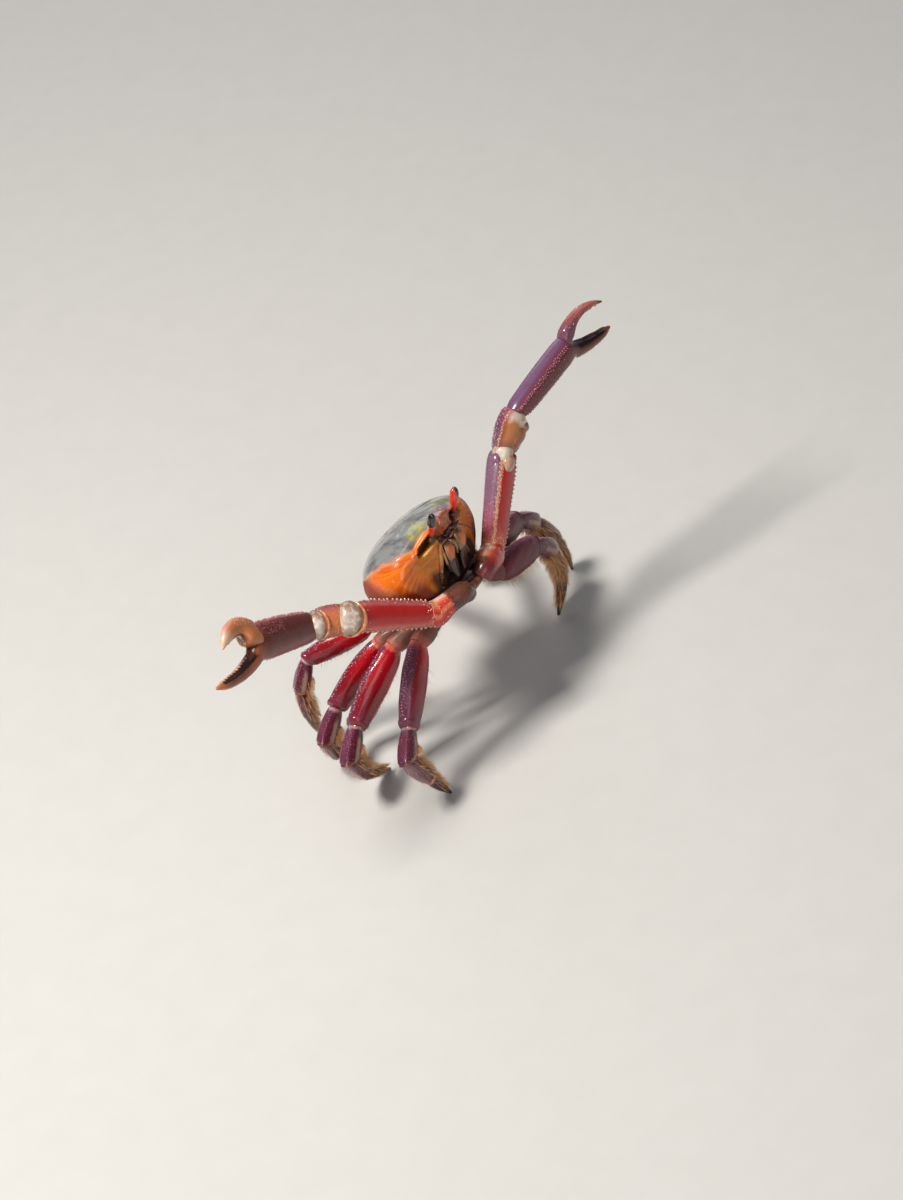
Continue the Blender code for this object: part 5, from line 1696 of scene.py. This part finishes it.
def buildFinger(claw, plan):
    # movable finger with a deep heel on the cutting side, which closes on the hand
    label, joints, along = claw["label"], claw["joints"], claw["along"]
    angles = ringAngles(clawMesh["finger"])
    root = joints[4] + plan["spread"][0] * claw["upward"] + (0.4 + stance["gap"]) * along
    rows, stations = fingerRows(root, along, claw["upward"], plan["movable"],
                                clawShapes["movable" + label], 66, clawMesh["finger"])
    toCut = np.clip(-np.cos(angles), 0, 1) ** 1.1
    for i, t in enumerate(stations):
        swell = plan["heel"] * (1 - float(ease(t, 0.1, 0.46)))
        rows[i] = rows[i] + unit(rows[i] - rows[i].mean(axis=0)) * (toCut * swell)[:, None]
    sleeve = Sleeve(rows, stations, angles)
    middle = rows[0].mean(axis=0)
    rows = [middle + (rows[0] - middle) * w - along * d for w, d in ((0.3, 0.5), (0.8, 0.3))] + rows
    rows, places = roundTip(rows, [0, 0] + list(stations))
    piece = Sculpt(f"claw{label}Finger")
    piece.addSleeve(rows, places, angles, math.pi)
    teeth = [(t, 180 + chance.normal(0, 4), 0.6 + 0.4 * abs(math.sin(t * 11)), 0.6, 0.0)
             for t in np.linspace(0.15, 0.88, 12)]
    piece.addStuds(sleeve, teeth + studding(fingerStuds), markRound(math.pi))
    finishPiece(piece, claw, "finger", "claw_finger_shell", 4)


print("claws")
for label in "RL":
    claw, plan = clawFrame(label), clawPlan[label]
    for build in (buildHip, buildArm, buildWrist, buildSoftJoints, buildHand, buildFinger):
        build(claw, plan)


beardPlan = {"count": 900, "mouthShare": 0.55, "width": 0.07, "length": (1.2, 3.0)}


def buildBeard():
    # short dark hair round the mouth and along the gap above the leg roots
    piece, hairs = Sculpt("mouthHair", inBody=True), []
    for _ in range(beardPlan["count"]):
        s = chance.choice((-1, 1))
        if chance.random() < beardPlan["mouthShare"]:
            x, z = s * chance.uniform(2, 15), chance.uniform(-12.5, -4)
            if abs(x) < 8 and z > -9:  # the plates stay bare
                z = -9 - chance.random() * 3
            point, normal = onFace(x, z)
            way = np.array((0.25 * s, -0.4, -0.9))
        else:
            y = chance.uniform(-21, 12)
            wide = smoothRow(y, carapaceTable)
            point, normal = onShell((s * wide[0] * 0.72, y, wide[3] + chance.uniform(-0.5, 2.5)))
            way = np.array((0.3 * s, -0.2, -1.0))
        start, end = normal + chance.normal(0, 0.25, 3), way + chance.normal(0, 0.3, 3)
        length = chance.uniform(*beardPlan["length"])
        hairs.append((point, start, end, length, ((point[0] + 33) / 66, (point[1] + 28) / 56)))
    growHairs(piece, hairs, beardPlan["width"])
    piece.make(paintHair("darkHair", *hairTones["black"]), slot="underside_shell")


print("dark hair")
buildBeard()


# metres, watts and colours; a lamp has its place, size, power and colour
stagePlan = {
    "floor": 4.0, "paper": ((0.62, 0.61, 0.585, 1), (0.66, 0.65, 0.625, 1)), "grain": 60.0,
    "sky": (0.86, 0.9, 0.96, 1), "skyStrength": 0.16, "aimAt": (0, 0, 0.06),
    "lamps": (("key", (-0.55, 0.3, 1.25), 0.3, 21.0, (1.0, 0.96, 0.9)),
              ("fill", (-1.1, -1.2, 0.8), 1.0, 5.0, (0.95, 0.98, 1.0)),
              ("back", (0.9, 0.9, 0.9), 0.8, 3.0, (1.0, 1.0, 1.0))),
}


def buildStage():
    size = stagePlan["floor"]
    mesh = bpy.data.meshes.new("floor")
    corners = [(-size, -size, 0), (size, -size, 0), (size, size, 0), (-size, size, 0)]
    mesh.from_pydata(corners, [], [(0, 1, 2, 3)])
    floor = bpy.data.objects.new("floor", mesh)
    bpy.context.scene.collection.objects.link(floor)
    paper = Finish("paperFloor", Roughness=0.85)
    grain = paper.noise(paper.node("TexCoord", output=3), stagePlan["grain"], 3)
    pale = paper.mix(*stagePlan["paper"], grain)
    mesh.materials.append(paper.done(Base_Color=pale, Normal=paper.bump(grain, 0.05, 0.3)))

    world = bpy.data.worlds.new("studio")
    world.use_nodes = True
    sky = world.node_tree.nodes["Background"]
    sky.inputs["Color"].default_value = stagePlan["sky"]
    sky.inputs["Strength"].default_value = stagePlan["skyStrength"]
    bpy.context.scene.world = world
    for name, where, wide, power, colour in stagePlan["lamps"]:
        light = bpy.data.lights.new(name, "AREA")
        light.size, light.energy, light.color = wide, power, colour
        lamp = bpy.data.objects.new(name, light)
        lamp.location = where
        aim = Vector(stagePlan["aimAt"]) - Vector(where)
        lamp.rotation_euler = aim.to_track_quat("-Z", "Y").to_euler()
        bpy.context.scene.collection.objects.link(lamp)
    bpy.context.scene.view_settings.view_transform = "Standard"


# millimetres, from the middle of the body
view = {"up": (0.608, 0.148, 0.780), "sideStep": 14.4, "rise": -18.9, "distance": 1600.0,
        "lens": 111.6, "nearest": 0.1, "farthest": 30}


def buildCamera():
    # looks down on the crab's right front, turned a little about its own line of sight
    back = Vector(towardCamera).normalized()
    right = Vector(view["up"]).cross(back).normalized()
    up = back.cross(right)
    body = Vector(place([(0, 0, 0)])[0] + shift)
    spot = body + right * view["sideStep"] + up * view["rise"] + back * view["distance"]
    data = bpy.data.cameras.new("camera")
    data.lens, data.clip_start, data.clip_end = view["lens"], view["nearest"], view["farthest"]
    camera = bpy.data.objects.new("camera", data)
    turn = Matrix((right, up, back)).transposed().to_4x4()
    camera.matrix_world = Matrix.Translation(spot * 0.001) @ turn
    bpy.context.scene.collection.objects.link(camera)
    bpy.context.scene.camera = camera


print("stage and camera")
buildStage()
buildCamera()
